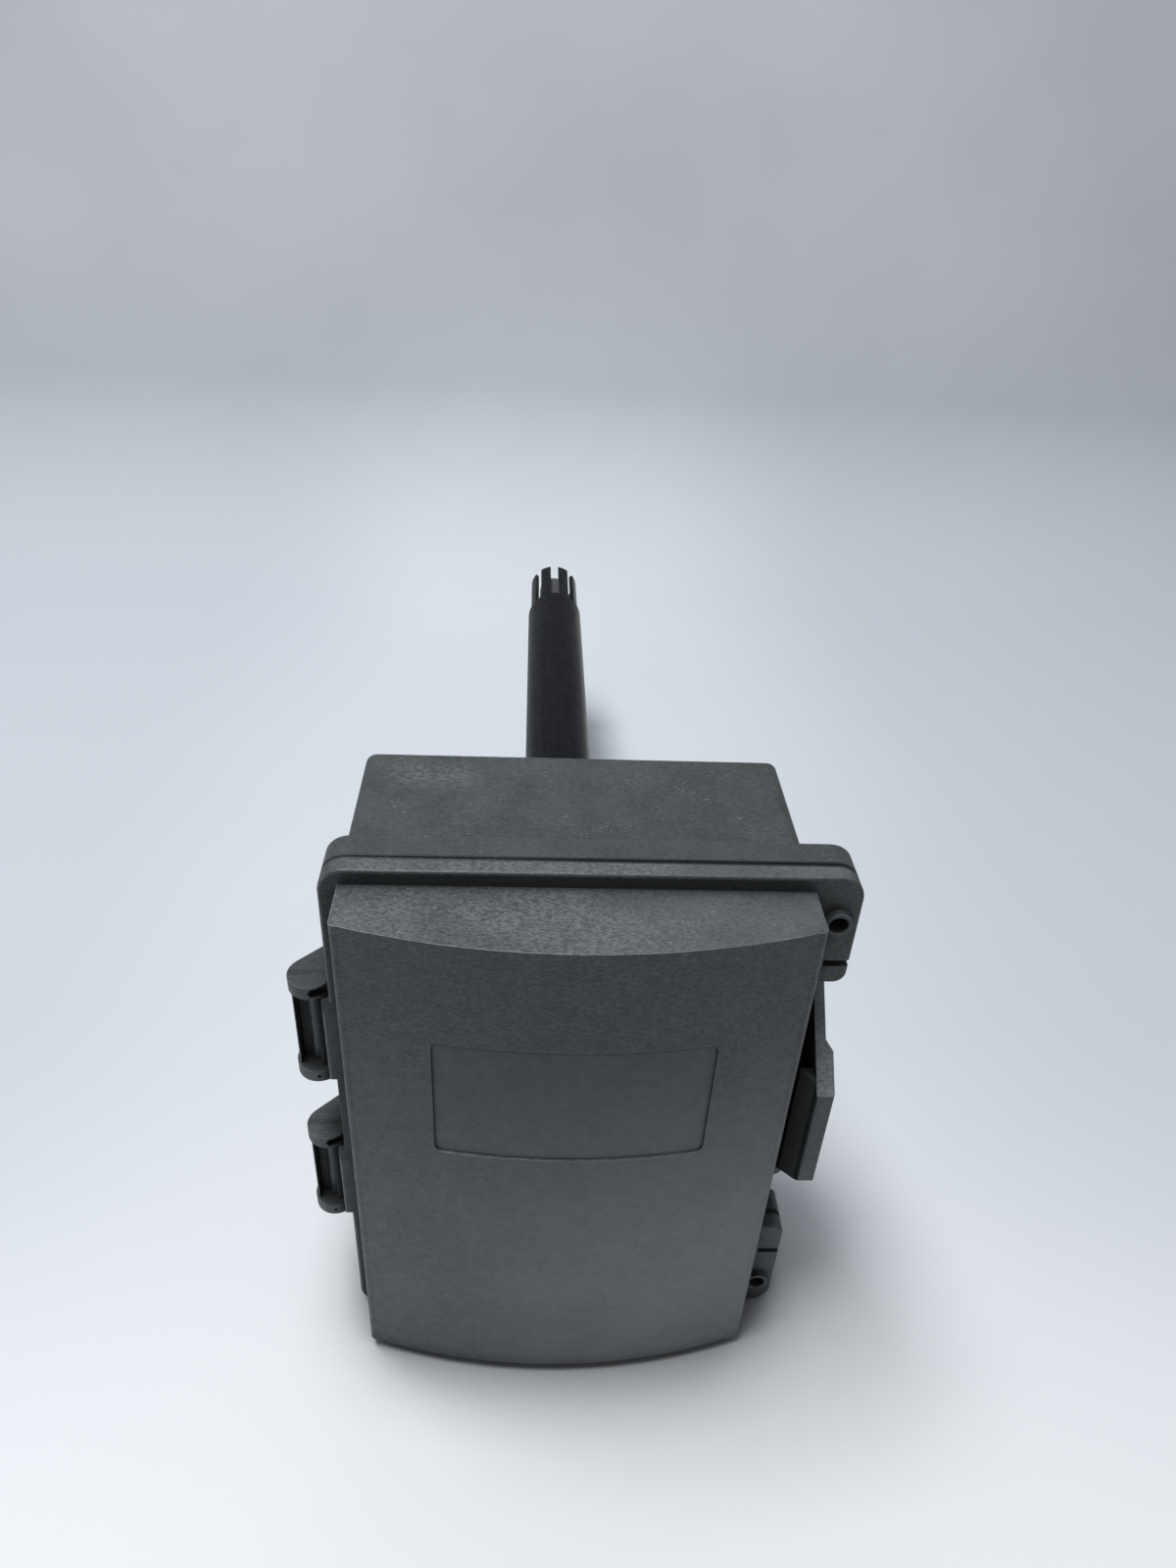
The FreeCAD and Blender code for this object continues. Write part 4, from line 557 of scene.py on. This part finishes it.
# Each with its darker and lighter colour, its roughness, and the size and stretch of its marks
METALS = {
    "pin_steel": (colour(0.46, 0.47, 0.48), colour(0.62, 0.63, 0.64), 0.30, 0.2 * MM, (1, 1, 0.03)),
    "screw_steel": (colour(0.52, 0.54, 0.56), colour(0.68, 0.70, 0.72), 0.26, 0.15 * MM, (1, 1, 1)),
    "brass": (colour(0.50, 0.36, 0.13), colour(0.66, 0.50, 0.22), 0.30, 0.2 * MM, (1, 0.2, 1)),
    "can_aluminium": (colour(0.56, 0.57, 0.59), colour(0.70, 0.71, 0.73), 0.28, 0.2 * MM, (1, 0.05, 1)),
}

# Each with its darker and lighter colour, and the size and depth of its pores
RUBBERS = {
    "seal_rubber": (colour(0.016, 0.016, 0.017), colour(0.034, 0.034, 0.036), 0.3 * MM, 0.02 * MM),
    "foam_rubber": (colour(0.020, 0.020, 0.021), colour(0.030, 0.030, 0.032), 0.8 * MM, 0.15 * MM),
}

FINISHES = {
    "case_plastic": moulded_plastic("case_plastic", dust_and_top_light=0.03, lit=0.4, scuff=0.28),
    "cover_plastic": moulded_plastic("cover_plastic", dust_and_top_light=0.36, lit=0.9, lower_front_light=0.39),
    "latch_plastic": moulded_plastic("latch_plastic", dust_and_top_light=1.30, lit=0.4, settles=0.40, flanged=False),
    "probe_plastic": satin_plastic("probe_plastic", PROBE_DARK, PROBE_LIGHT, 0.55),
    "filter_mesh": filter_mesh(),
    "board_laminate": board_laminate(),
}
FINISHES.update({name: speckled(name, *look) for name, look in SPECKLED.items()})
FINISHES.update({name: metal(name, *look) for name, look in METALS.items()})
FINISHES.update({name: soft_rubber(name, *look) for name, look in RUBBERS.items()})

for part in frame["record"]["subparts"]:
    node = nodes[part["node"]]
    node.data.materials.clear()
    node.data.materials.append(FINISHES[part["material_slot"]])


# Mesh tools for the circuit board, whose details show when the cover is open

board_low, board_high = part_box("circuit_board")
BOARD_FACE = board_low[Y]
SHARP_ANGLE = math.radians(35)
JOINT_SIDES = 8


def add_block(mesh, low, high, bevel):
    """Add a block with bevelled edges to a mesh."""
    low = Vector(low)
    high = Vector(high)
    place = Matrix.Translation((low + high) / 2) @ Matrix.Diagonal((*(high - low), 1))
    made = bmesh.ops.create_cube(mesh, size=1.0, matrix=place)
    edges = list({edge for vertex in made["verts"] for edge in vertex.link_edges})
    bmesh.ops.bevel(mesh, geom=edges, offset=bevel, segments=2, profile=0.5, affect="EDGES")


def close_between(mesh, first, second):
    """Close two matching rings of vertices into a solid."""
    mesh.faces.new(first)
    mesh.faces.new(reversed(second))
    for index, corner in enumerate(first):
        mesh.faces.new((first[index - 1], corner, second[index], second[index - 1]))


def add_prism(mesh, outline, front, rear):
    """Add a flat shape that is drawn in X and Z and reaches from front to rear."""
    rings = [[mesh.verts.new((x, y, z)) for x, z in outline] for y in (front, rear)]
    close_between(mesh, *rings)


def circle(x, z, radius, count):
    """Points round a circle in X and Z."""
    turns = [2 * math.pi * index / count for index in range(count)]
    return [(x + radius * math.cos(turn), z + radius * math.sin(turn)) for turn in turns]


def strip(start, end, wide):
    """The outline of a straight strip in X and Z."""
    start = Vector(start)
    end = Vector(end)
    run = end - start
    side = Vector((-run.y, run.x)).normalized() * wide / 2
    return [tuple(corner) for corner in (start + side, start - side, end - side, end + side)]


def add_ring(mesh, x, z, outer, inner, front, rear, count, start=0.0, share=1.0):
    """Add a ring round a line along Y, or only a share of it."""
    whole = share >= 1.0
    sections = []
    for index in range(count if whole else count + 1):
        turn = start + 2 * math.pi * share * index / count
        across = (math.cos(turn), math.sin(turn))
        sections.append([mesh.verts.new((x + radius * across[0], y, z + radius * across[1]))
                         for radius, y in ((inner, rear), (outer, rear), (outer, front), (inner, front))])
    for index in range(count):
        here, there = sections[index], sections[(index + 1) % len(sections)]
        for corner in range(4):
            mesh.faces.new((here[corner - 1], here[corner], there[corner], there[corner - 1]))
    if not whole:
        mesh.faces.new(sections[0])
        mesh.faces.new(reversed(sections[-1]))


def add_flat_ring(mesh, x, z, outer, inner, thick, count):
    """Add a thin ring that lies on the board's face."""
    add_ring(mesh, x, z, outer, inner, BOARD_FACE - thick, BOARD_FACE, count)


def add_line(mesh, points, wide, thick):
    """Add a thin strip on the board's face along straight runs, with round joints."""
    for start, end in zip(points, points[1:]):
        add_prism(mesh, strip(start, end, wide), BOARD_FACE - thick, BOARD_FACE)
    for x, z in points:
        add_prism(mesh, circle(x, z, wide / 2, JOINT_SIDES), BOARD_FACE - thick, BOARD_FACE)


def middle_of(low, high, axis):
    """The middle of a box along one axis."""
    return (low[axis] + high[axis]) / 2


def board_piece(mesh, name, finish):
    """Turn a mesh into a piece on the case, smooth except over its sharp edges."""
    bmesh.ops.recalc_face_normals(mesh, faces=mesh.faces)
    data = bpy.data.meshes.new(name)
    mesh.to_mesh(data)
    mesh.free()
    data.polygons.foreach_set("use_smooth", [True] * len(data.polygons))
    data.set_sharp_from_angle(angle=SHARP_ANGLE)
    data.materials.append(FINISHES[finish])
    piece = bpy.data.objects.new(name, data)
    bpy.context.scene.collection.objects.link(piece)
    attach(piece, "case")


# Copper traces, pads and through holes

TRACE_WIDE = 0.5 * MM
TRACE_THICK = 0.05 * MM
PAD_RADIUS = 0.62 * MM
PAD_HOLE = 0.28 * MM
PAD_THICK = 0.08 * MM
PAD_SIDES = 14
VIA_RADIUS = 0.45 * MM
VIA_HOLE = 0.20 * MM
VIA_THICK = 0.07 * MM
VIA_SIDES = 12
VIA_COUNT = 34
VIA_SEED = 7
EDGE_ROOM = 4 * MM
FOOT_ROOM = 16 * MM
LEAD_ROOM = 8 * MM
SOCKET_INSET = 2 * MM
SOCKET_PITCH = 2.4 * MM
HEADER_PITCH = 2.54 * MM
CAN_INSET = 2 * MM
CAN_PITCH = 6.5 * MM
CAN_FOOT_INSET = 3.9 * MM
CAN_FOOT_PITCH = 4.9 * MM
TERMINAL_INSET = 2.5 * MM
TERMINAL_PITCH = 5.08 * MM
TERMINAL_SPREAD = 2.2 * MM
TERMINAL_RISE = 12 * MM
REGULATOR_PITCH = 2.5 * MM
REGULATOR_ROOM = 2 * MM
CHIP_PITCH = 0.8 * MM
CHIP_ROOM = 1 * MM


def route(start, end, share):
    """A run up the board, a slanted run at 45 degrees, and a run up to the end."""
    aside = abs(end[0] - start[0])
    spare = (end[1] - start[1]) - aside
    turn = start[1] + spare * share
    return [start, (start[0], turn), (end[0], turn + aside), end]


def route_and_turn(start, end, share, chip_side):
    """A route up the board, and a level run from its end to the chip's side."""
    return [route(start, end, share), [end, (chip_side, end[1])]]


def socket_runs():
    """Runs from the sensor's socket to the chip's lower legs."""
    chip_low, chip_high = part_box("control_chip")
    socket_low, socket_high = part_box("sensor_socket")
    chip_x = middle_of(chip_low, chip_high, X)
    runs = []
    for index in range(4):
        start = (socket_low[X] + SOCKET_INSET + SOCKET_PITCH * index, socket_high[Z])
        end = (chip_x + (index - 1.5) * CHIP_PITCH, chip_low[Z] - CHIP_ROOM)
        runs.append(route(start, end, 0.3 + 0.1 * index))
    return runs


def jumper_runs():
    """Runs from the jumper pins to the chip's left side."""
    chip_low, chip_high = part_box("control_chip")
    strip_low, strip_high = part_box("jumper_header")
    runs = []
    for index in range(3):
        start = (strip_low[X] + HEADER_PITCH * (index + 0.5), strip_high[Z])
        end = (start[0] + (2 + index) * MM, chip_high[Z] + (1 + index) * MM)
        runs += route_and_turn(start, end, 0.5, chip_low[X] - CHIP_ROOM)
    return runs


def can_runs():
    """Runs from the capacitors to the chip's right side."""
    chip_low, chip_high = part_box("control_chip")
    can_low, can_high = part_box("capacitors")
    runs = []
    for index in range(3):
        start = (can_low[X] + CAN_INSET + CAN_PITCH * index, can_high[Z])
        end = (start[0] - 3 * MM, chip_low[Z] + (2 + 2 * index) * MM)
        runs += route_and_turn(start, end, 0.4, chip_high[X] + CHIP_ROOM)
    return runs


def terminal_runs():
    """Runs that fan out above the terminals."""
    block_low, block_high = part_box("terminal_block")
    runs = []
    for index in range(6):
        start = (block_low[X] + TERMINAL_INSET + TERMINAL_PITCH * index, block_high[Z])
        end = (start[0] + (index - 2.5) * TERMINAL_SPREAD, block_high[Z] + TERMINAL_RISE)
        runs.append(route(start, end, 0.3))
    return runs


def regulator_runs():
    """Runs from the regulator to the capacitors."""
    regulator_low, regulator_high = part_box("voltage_regulator")
    can_low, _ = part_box("capacitors")
    runs = []
    for index in range(3):
        start = (regulator_low[X] + REGULATOR_PITCH * (index + 1), regulator_high[Z] + REGULATOR_ROOM)
        end = (can_low[X] + CAN_FOOT_INSET + CAN_FOOT_PITCH * index, can_low[Z])
        runs.append(route(start, end, 0.5))
    return runs


def add_traces():
    """Copper traces with a pad at each end, and scattered through holes."""
    copper = bmesh.new()
    pads = bmesh.new()
    for run in socket_runs() + jumper_runs() + can_runs() + terminal_runs() + regulator_runs():
        add_line(copper, run, TRACE_WIDE, TRACE_THICK)
        for x, z in (run[0], run[-1]):
            add_flat_ring(pads, x, z, PAD_RADIUS, PAD_HOLE, PAD_THICK, PAD_SIDES)
    chance = random.Random(VIA_SEED)
    for _ in range(VIA_COUNT):
        x = chance.uniform(board_low[X] + EDGE_ROOM, board_high[X] - EDGE_ROOM)
        z = chance.uniform(board_low[Z] + FOOT_ROOM, board_high[Z] - EDGE_ROOM)
        if math.hypot(x, z) > LEAD_ROOM:
            add_flat_ring(pads, x, z, VIA_RADIUS, VIA_HOLE, VIA_THICK, VIA_SIDES)
    board_piece(copper, "board_traces", "masked_copper")
    board_piece(pads, "board_pads", "screw_steel")


# Legs of the chip and the regulator

CHIP_LEGS = 9
LEG_WIDE = 0.36 * MM

# Reach and rise of a leg's outline, in millimetres
LEG_PROFILE = [
    (0, 0.75), (0.35, 0.75), (0.50, 0.14), (1.0, 0.14),
    (1.0, 0), (0.42, 0), (0.27, 0.62), (0, 0.62),
]
REGULATOR_LEG_WIDE = 1.0 * MM
REGULATOR_LEG_SCALE = 2.6
TAB_INSET = 0.6 * MM
TAB_THICK = 1.3 * MM
TAB_UNDER = 1 * MM
TAB_OUT = 2.2 * MM
TAB_BEVEL = 0.2 * MM


def add_leg(mesh, place, outward, wide=LEG_WIDE, scale=1.0):
    """Add one bent metal leg that leaves a part's side and lies on the board."""
    across = Vector((outward[Z], 0, -outward[X])) * wide / 2
    rings = []
    for side in (-1, 1):
        root = Vector(place) + across * side
        steps = [Vector(outward) * reach - Vector((0, rise, 0)) for reach, rise in LEG_PROFILE]
        rings.append([mesh.verts.new(root + step * scale * MM) for step in steps])
    close_between(mesh, *rings)


def add_legs():
    """Legs of the control chip and of the regulator, and the regulator's cooling tab."""
    tin = bmesh.new()
    low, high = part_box("control_chip")
    x, z = middle_of(low, high, X), middle_of(low, high, Z)
    for index in range(CHIP_LEGS):
        along = (index - CHIP_LEGS // 2) * CHIP_PITCH
        add_leg(tin, (low[X], BOARD_FACE, z + along), (-1, 0, 0))
        add_leg(tin, (high[X], BOARD_FACE, z + along), (1, 0, 0))
        add_leg(tin, (x + along, BOARD_FACE, low[Z]), (0, 0, -1))
        add_leg(tin, (x + along, BOARD_FACE, high[Z]), (0, 0, 1))
    low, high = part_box("voltage_regulator")
    for share in (0.25, 0.5, 0.75):
        place = (low[X] + (high[X] - low[X]) * share, BOARD_FACE, low[Z])
        add_leg(tin, place, (0, 0, -1), REGULATOR_LEG_WIDE, REGULATOR_LEG_SCALE)
    add_block(tin, (low[X] + TAB_INSET, BOARD_FACE - TAB_THICK, high[Z] - TAB_UNDER),
              (high[X] - TAB_INSET, BOARD_FACE, high[Z] + TAB_OUT), TAB_BEVEL)
    board_piece(tin, "tinned_legs", "screw_steel")


# Tiny soldered parts

SMALL_LONG = 1.5 * MM
SMALL_WIDE = 0.8 * MM
SMALL_THICK = {"black": 0.5 * MM, "tan": 0.75 * MM}
SMALL_BEVEL = 0.05 * MM
TAN_SHARE = 0.45
TAN_SEED = 11
END_LONG = 0.3 * MM
END_PROUD = 0.03 * MM
END_BEVEL = 0.08 * MM

# Left end and height in millimetres, count, pitch in millimetres, and whether they stand upright
SMALL_ROWS = [
    (-16, 51, 5, 4.2, False),
    (-20, 41, 1, 0, True),
    (-20, 36, 1, 0, True),
    (6, 47, 4, 4.6, False),
    (-16, 31, 3, 3.6, True),
    (9, 17, 4, 4.4, True),
    (-28, 4, 3, 4.0, True),
    (-28, -6, 4, 4.2, False),
    (-12, -13, 3, 4.8, True),
    (24, 2, 2, 4.4, False),
]


def add_small_part(bodies, ends, x, z, thick, upright):
    """One soldered part: a body with a metal end on each side."""
    half_x, half_z = (SMALL_WIDE / 2, SMALL_LONG / 2) if upright else (SMALL_LONG / 2, SMALL_WIDE / 2)
    low = Vector((x - half_x, BOARD_FACE - thick, z - half_z))
    high = Vector((x + half_x, BOARD_FACE, z + half_z))
    add_block(bodies, low, high, SMALL_BEVEL)
    axis = Z if upright else X
    near, far = high.copy(), low.copy()
    near[axis] = low[axis] + END_LONG
    far[axis] = high[axis] - END_LONG
    for end_low, end_high in ((low, near), (far, high)):
        add_block(ends, end_low - Vector((END_PROUD, END_PROUD, END_PROUD)),
                  end_high + Vector((END_PROUD, 0, END_PROUD)), END_BEVEL)


def add_small_parts():
    """Rows of black or tan parts with metal ends."""
    chance = random.Random(TAN_SEED)
    meshes = {"black": bmesh.new(), "tan": bmesh.new(), "ends": bmesh.new()}
    for left, height, count, pitch, upright in SMALL_ROWS:
        for index in range(count):
            kind = "tan" if chance.random() < TAN_SHARE else "black"
            x = (left + pitch * index) * MM
            add_small_part(meshes[kind], meshes["ends"], x, height * MM, SMALL_THICK[kind], upright)
    board_piece(meshes["black"], "small_parts_black", "chip_black")
    board_piece(meshes["tan"], "small_parts_tan", "tan_ceramic")
    board_piece(meshes["ends"], "small_parts_ends", "screw_steel")


# Sleeves of the capacitors

CAN_SIDES = 48
SLEEVE_PROUD = 0.08 * MM
SLEEVE_UNDER = 0.02 * MM
SLEEVE_FOOT = 0.2 * MM
RIM_PROUD = 0.05 * MM
RIM_INWARD = 0.75 * MM
RIM_FRONT = 0.04 * MM
RIM_REAR = 0.72 * MM
RIM_LAP = 0.02 * MM
STRIPE_PROUD = 0.12 * MM
STRIPE_TOP = 0.8 * MM
STRIPE_FOOT = 0.3 * MM
STRIPE_START = math.radians(20)
STRIPE_SHARE = 50 / 360
STRIPE_SIDES = 8
SCORE_LONG = 4.4 * MM
SCORE_WIDE = 0.18 * MM
SCORE_PROUD = 0.02 * MM
SCORE_DEEP = 0.05 * MM


def can_places():
    """The two capacitors' middles in X and Z, and their radius."""
    low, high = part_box("capacitors")
    radius = (high[Z] - low[Z]) / 2
    level = middle_of(low, high, Z)
    return [(low[X] + radius, level), (high[X] - radius, level)], radius


def add_can_sleeves():
    """Plastic sleeves round the capacitors, their pale stripes, and the scored tops."""
    low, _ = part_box("capacitors")
    top = low[Y]
    places, radius = can_places()
    sleeves, stripes, scores = bmesh.new(), bmesh.new(), bmesh.new()
    for x, z in places:
        add_ring(sleeves, x, z, radius + SLEEVE_PROUD, radius - SLEEVE_UNDER,
                 top + RIM_REAR - RIM_LAP, BOARD_FACE - SLEEVE_FOOT, CAN_SIDES)
        add_ring(sleeves, x, z, radius + RIM_PROUD, radius - RIM_INWARD,
                 top - RIM_FRONT, top + RIM_REAR, CAN_SIDES)
        add_ring(stripes, x, z, radius + STRIPE_PROUD, radius,
                 top + STRIPE_TOP, BOARD_FACE - STRIPE_FOOT, STRIPE_SIDES, STRIPE_START, STRIPE_SHARE)
        for turn in (0, 60, 120):
            arm = Vector((math.cos(math.radians(turn)), math.sin(math.radians(turn)))) * SCORE_LONG / 2
            middle = Vector((x, z))
            outline = strip(middle - arm, middle + arm, SCORE_WIDE)
            add_prism(scores, outline, top - SCORE_PROUD, top + SCORE_DEEP)
    board_piece(sleeves, "can_sleeves", "chip_black")
    board_piece(stripes, "can_stripes", "board_ink")
    board_piece(scores, "can_scores", "chip_black")


# The jumper's cap and the printed outlines

CAP_PLAY = 0.1 * MM
CAP_PROUD = 0.2 * MM
CAP_DEEP = 5.6 * MM
CAP_BEVEL = 0.25 * MM
GRIP_INSET_X = 0.7 * MM
GRIP_INSET_Z = 1.4 * MM
GRIP_PROUD = 0.5 * MM
GRIP_LAP = 0.1 * MM
GRIP_BEVEL = 0.15 * MM
INK_WIDE = 0.2 * MM
INK_THICK = 0.03 * MM
INK_ROOM = {
    "control_chip": 1.5 * MM,
    "voltage_regulator": 0.9 * MM,
    "jumper_header": 0.6 * MM,
    "sensor_socket": 0.6 * MM,
    "terminal_block": 0.5 * MM,
}
CAN_INK_OUTER = 0.75 * MM
CAN_INK_INNER = 0.5 * MM
CAN_INK_SIDES = 40
DOT_LEFT = 1.0 * MM
DOT_UP = 0.9 * MM
DOT_RADIUS = 0.35 * MM
DOT_SIDES = 14
SCREW_INSET = 5 * MM
SCREW_INK_OUTER = 3.9 * MM
SCREW_INK_INNER = 3.7 * MM
SCREW_INK_SIDES = 32


def add_jumper_cap():
    """The small cap that joins the middle pair of jumper pins."""
    low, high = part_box("jumper_header")
    column = (high[X] - low[X]) / 3
    cap = bmesh.new()
    left = low[X] + column + CAP_PLAY
    right = low[X] + column * 2 - CAP_PLAY
    front = low[Y] - CAP_PROUD
    add_block(cap, (left, front, low[Z] + CAP_PLAY),
              (right, front + CAP_DEEP, high[Z] - CAP_PLAY), CAP_BEVEL)
    add_block(cap, (left + GRIP_INSET_X, front - GRIP_PROUD, low[Z] + GRIP_INSET_Z),
              (right - GRIP_INSET_X, front + GRIP_LAP, high[Z] - GRIP_INSET_Z), GRIP_BEVEL)
    board_piece(cap, "jumper_cap", "chip_black")


def add_board_ink():
    """Printed outlines round the parts, with no lettering."""
    ink = bmesh.new()
    for node, room in INK_ROOM.items():
        low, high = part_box(node)
        left, right = low[X] - room, high[X] + room
        down, up = low[Z] - room, high[Z] + room
        corners = [(left, down), (right, down), (right, up), (left, up), (left, down)]
        add_line(ink, corners, INK_WIDE, INK_THICK)
    places, radius = can_places()
    for x, z in places:
        add_flat_ring(ink, x, z, radius + CAN_INK_OUTER, radius + CAN_INK_INNER, INK_THICK, CAN_INK_SIDES)
    low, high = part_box("control_chip")
    dot = circle(low[X] - DOT_LEFT, high[Z] + DOT_UP, DOT_RADIUS, DOT_SIDES)
    add_prism(ink, dot, BOARD_FACE - INK_THICK, BOARD_FACE)
    for x in (board_low[X] + SCREW_INSET, board_high[X] - SCREW_INSET):
        for z in (board_low[Z] + SCREW_INSET, board_high[Z] - SCREW_INSET):
            add_flat_ring(ink, x, z, SCREW_INK_OUTER, SCREW_INK_INNER, INK_THICK, SCREW_INK_SIDES)
    board_piece(ink, "board_ink", "board_ink")


add_traces()
add_legs()
add_small_parts()
add_can_sleeves()
add_jumper_cap()
add_board_ink()


# Camera, from the photograph's vanishing lines

CAMERA_PLACE = Vector((-11.11, -215.25, 206.18)) * MM
CAMERA_PITCH = 33.78
CAMERA_YAW = -3.93
CAMERA_ROLL = -3.43
SENSOR = 36.0
FOCAL_SHARE = 1126.76 / 1600
CLIP_START = 0.01
CLIP_END = 20


def add_camera():
    """The camera at the photograph's place and angle."""
    data = bpy.data.cameras.new("camera")
    data.sensor_width = SENSOR
    data.lens = SENSOR * FOCAL_SHARE
    data.clip_start = CLIP_START
    data.clip_end = CLIP_END
    camera = bpy.data.objects.new("camera", data)
    bpy.context.scene.collection.objects.link(camera)
    turn = Matrix.Rotation(math.radians(CAMERA_YAW), 3, "Z")
    turn = turn @ Matrix.Rotation(math.radians(-CAMERA_PITCH), 3, "X")
    turn = turn @ Matrix.Rotation(math.radians(CAMERA_ROLL), 3, "Y")
    right, forward, up = (turn.col[axis] for axis in (X, Y, Z))
    axes = Matrix((right, up, -forward)).transposed()
    camera.matrix_world = Matrix.Translation(CAMERA_PLACE) @ axes.to_4x4()
    bpy.context.scene.camera = camera


# Paper sweep, lamp and room

FLOOR_LEVEL = -72.5 * MM
BEND_START = 0.40
BEND_RADIUS = 0.10
BEND_STEPS = 24
PAPER_WIDE = 5.0
PAPER_FRONT = -2.5
PAPER_TOP = 2.2
FLOOR_DARK = colour(0.68, 0.725, 0.775)
FLOOR_LIGHT = colour(0.72, 0.76, 0.80)
FLOOR_NEAR = colour(0.88, 0.90, 0.93)
FLOOR_ASIDE = colour(0.58, 0.62, 0.67)
NEAR_START, NEAR_END = 0.06, -0.14
ASIDE_START, ASIDE_END = 0.05, 0.20
WALL_DARK = colour(0.56, 0.57, 0.60)
WALL_LIGHT = colour(0.64, 0.65, 0.68)
WALL_CLIMB = 0.25
PAPER_CLOUD = 0.22
PAPER_WAVE = 0.12
WAVE_HEIGHT = 4 * MM
CONTACT_SHADE = colour(0.20, 0.21, 0.22)
CONTACT_REACH = 22 * MM
LAMP_PLACE = Vector((-0.30, -0.08, 1.25))
LAMP_WIDE = 0.7
LAMP_HIGH = 0.3
LAMP_WATTS = 14.1
ROOM_TINT = colour(0.97, 0.98, 1.0)
ROOM_LIGHT = 0.25
ROOM_SEEN = 0.58


def paper_finish():
    """Pale blue-grey paper: a painted pool of light on the floor in front, painted shade at the floor's
    sides and a painted shadow round the object, a greyer wall behind, faintly cloudy.
    """
    s = Shader("paper")
    tone = s.cloudy(PAPER_CLOUD, detail=3.0)
    floor = s.mix(tone, FLOOR_DARK, FLOOR_LIGHT)
    wall = s.mix(tone, WALL_DARK, WALL_LIGHT)
    nearer = s.ramp(s.position(Y), NEAR_START, NEAR_END)
    aside = s.ramp(s.math("ABSOLUTE", s.position(X)), ASIDE_START, ASIDE_END)
    aside = s.times(aside, s.rest_of(nearer))
    # Painted light on the floor in front, and painted shade on the floor to either side
    floor = s.mix(s.times(nearer, 0.95), floor, FLOOR_NEAR)
    floor = s.mix(s.times(aside, 0.8), floor, FLOOR_ASIDE)
    climb = s.ramp(s.position(Z), FLOOR_LEVEL, FLOOR_LEVEL + WALL_CLIMB)
    base = s.mix(climb, floor, wall)
    base = s.mix(s.times(s.shut_in(CONTACT_REACH, False), 0.85), base, CONTACT_SHADE)
    waves = s.bump(s.noise(PAPER_WAVE, shift=1.0), WAVE_HEIGHT, 0.5)
    return s.finish(base, 0.8, waves, specular=0.2)


def add_paper():
    """One sheet of paper: flat floor, a bend behind the object, and a wall."""
    profile = [(PAPER_FRONT, FLOOR_LEVEL)]
    for index in range(BEND_STEPS + 1):
        angle = math.pi / 2 * index / BEND_STEPS
        profile.append((BEND_START + BEND_RADIUS * math.sin(angle),
                        FLOOR_LEVEL + BEND_RADIUS * (1 - math.cos(angle))))
    profile.append((BEND_START + BEND_RADIUS, PAPER_TOP))
    points = [(side * PAPER_WIDE / 2, y, z) for y, z in profile for side in (-1, 1)]
    faces = [(2 * i, 2 * i + 1, 2 * i + 3, 2 * i + 2) for i in range(len(profile) - 1)]
    mesh = bpy.data.meshes.new("paper")
    mesh.from_pydata(points, [], faces)
    mesh.polygons.foreach_set("use_smooth", [True] * len(faces))
    paper = bpy.data.objects.new("paper", mesh)
    bpy.context.scene.collection.objects.link(paper)
    mesh.materials.append(paper_finish())


def add_lamp():
    """A soft rectangular lamp nearly overhead, which points at the origin."""
    data = bpy.data.lights.new("top_light", "AREA")
    data.shape = "RECTANGLE"
    data.size = LAMP_WIDE
    data.size_y = LAMP_HIGH
    data.energy = LAMP_WATTS
    lamp = bpy.data.objects.new("top_light", data)
    lamp.location = LAMP_PLACE
    lamp.rotation_mode = "QUATERNION"
    lamp.rotation_quaternion = (-LAMP_PLACE).to_track_quat("-Z", "Y")
    bpy.context.scene.collection.objects.link(lamp)


def add_world():
    """Plain soft light all round, which looks paler than it lights."""
    world = bpy.data.worlds.new("room")
    world.use_nodes = True
    tree = world.node_tree
    background = tree.nodes["Background"]
    background.inputs["Color"].default_value = ROOM_TINT
    path = tree.nodes.new("ShaderNodeLightPath")
    seen = path.outputs["Is Camera Ray"]
    for kind in ("Is Glossy Ray", "Is Transmission Ray"):
        either = tree.nodes.new("ShaderNodeMath")
        either.operation = "MAXIMUM"
        tree.links.new(seen, either.inputs[0])
        tree.links.new(path.outputs[kind], either.inputs[1])
        seen = either.outputs[0]
    strength = tree.nodes.new("ShaderNodeMapRange")
    strength.inputs["To Min"].default_value = ROOM_LIGHT
    strength.inputs["To Max"].default_value = ROOM_SEEN
    tree.links.new(seen, strength.inputs["Value"])
    tree.links.new(strength.outputs["Result"], background.inputs["Strength"])
    bpy.context.scene.world = world


add_camera()
add_paper()
add_world()
add_lamp()
bpy.context.scene.view_settings.view_transform = "Standard"
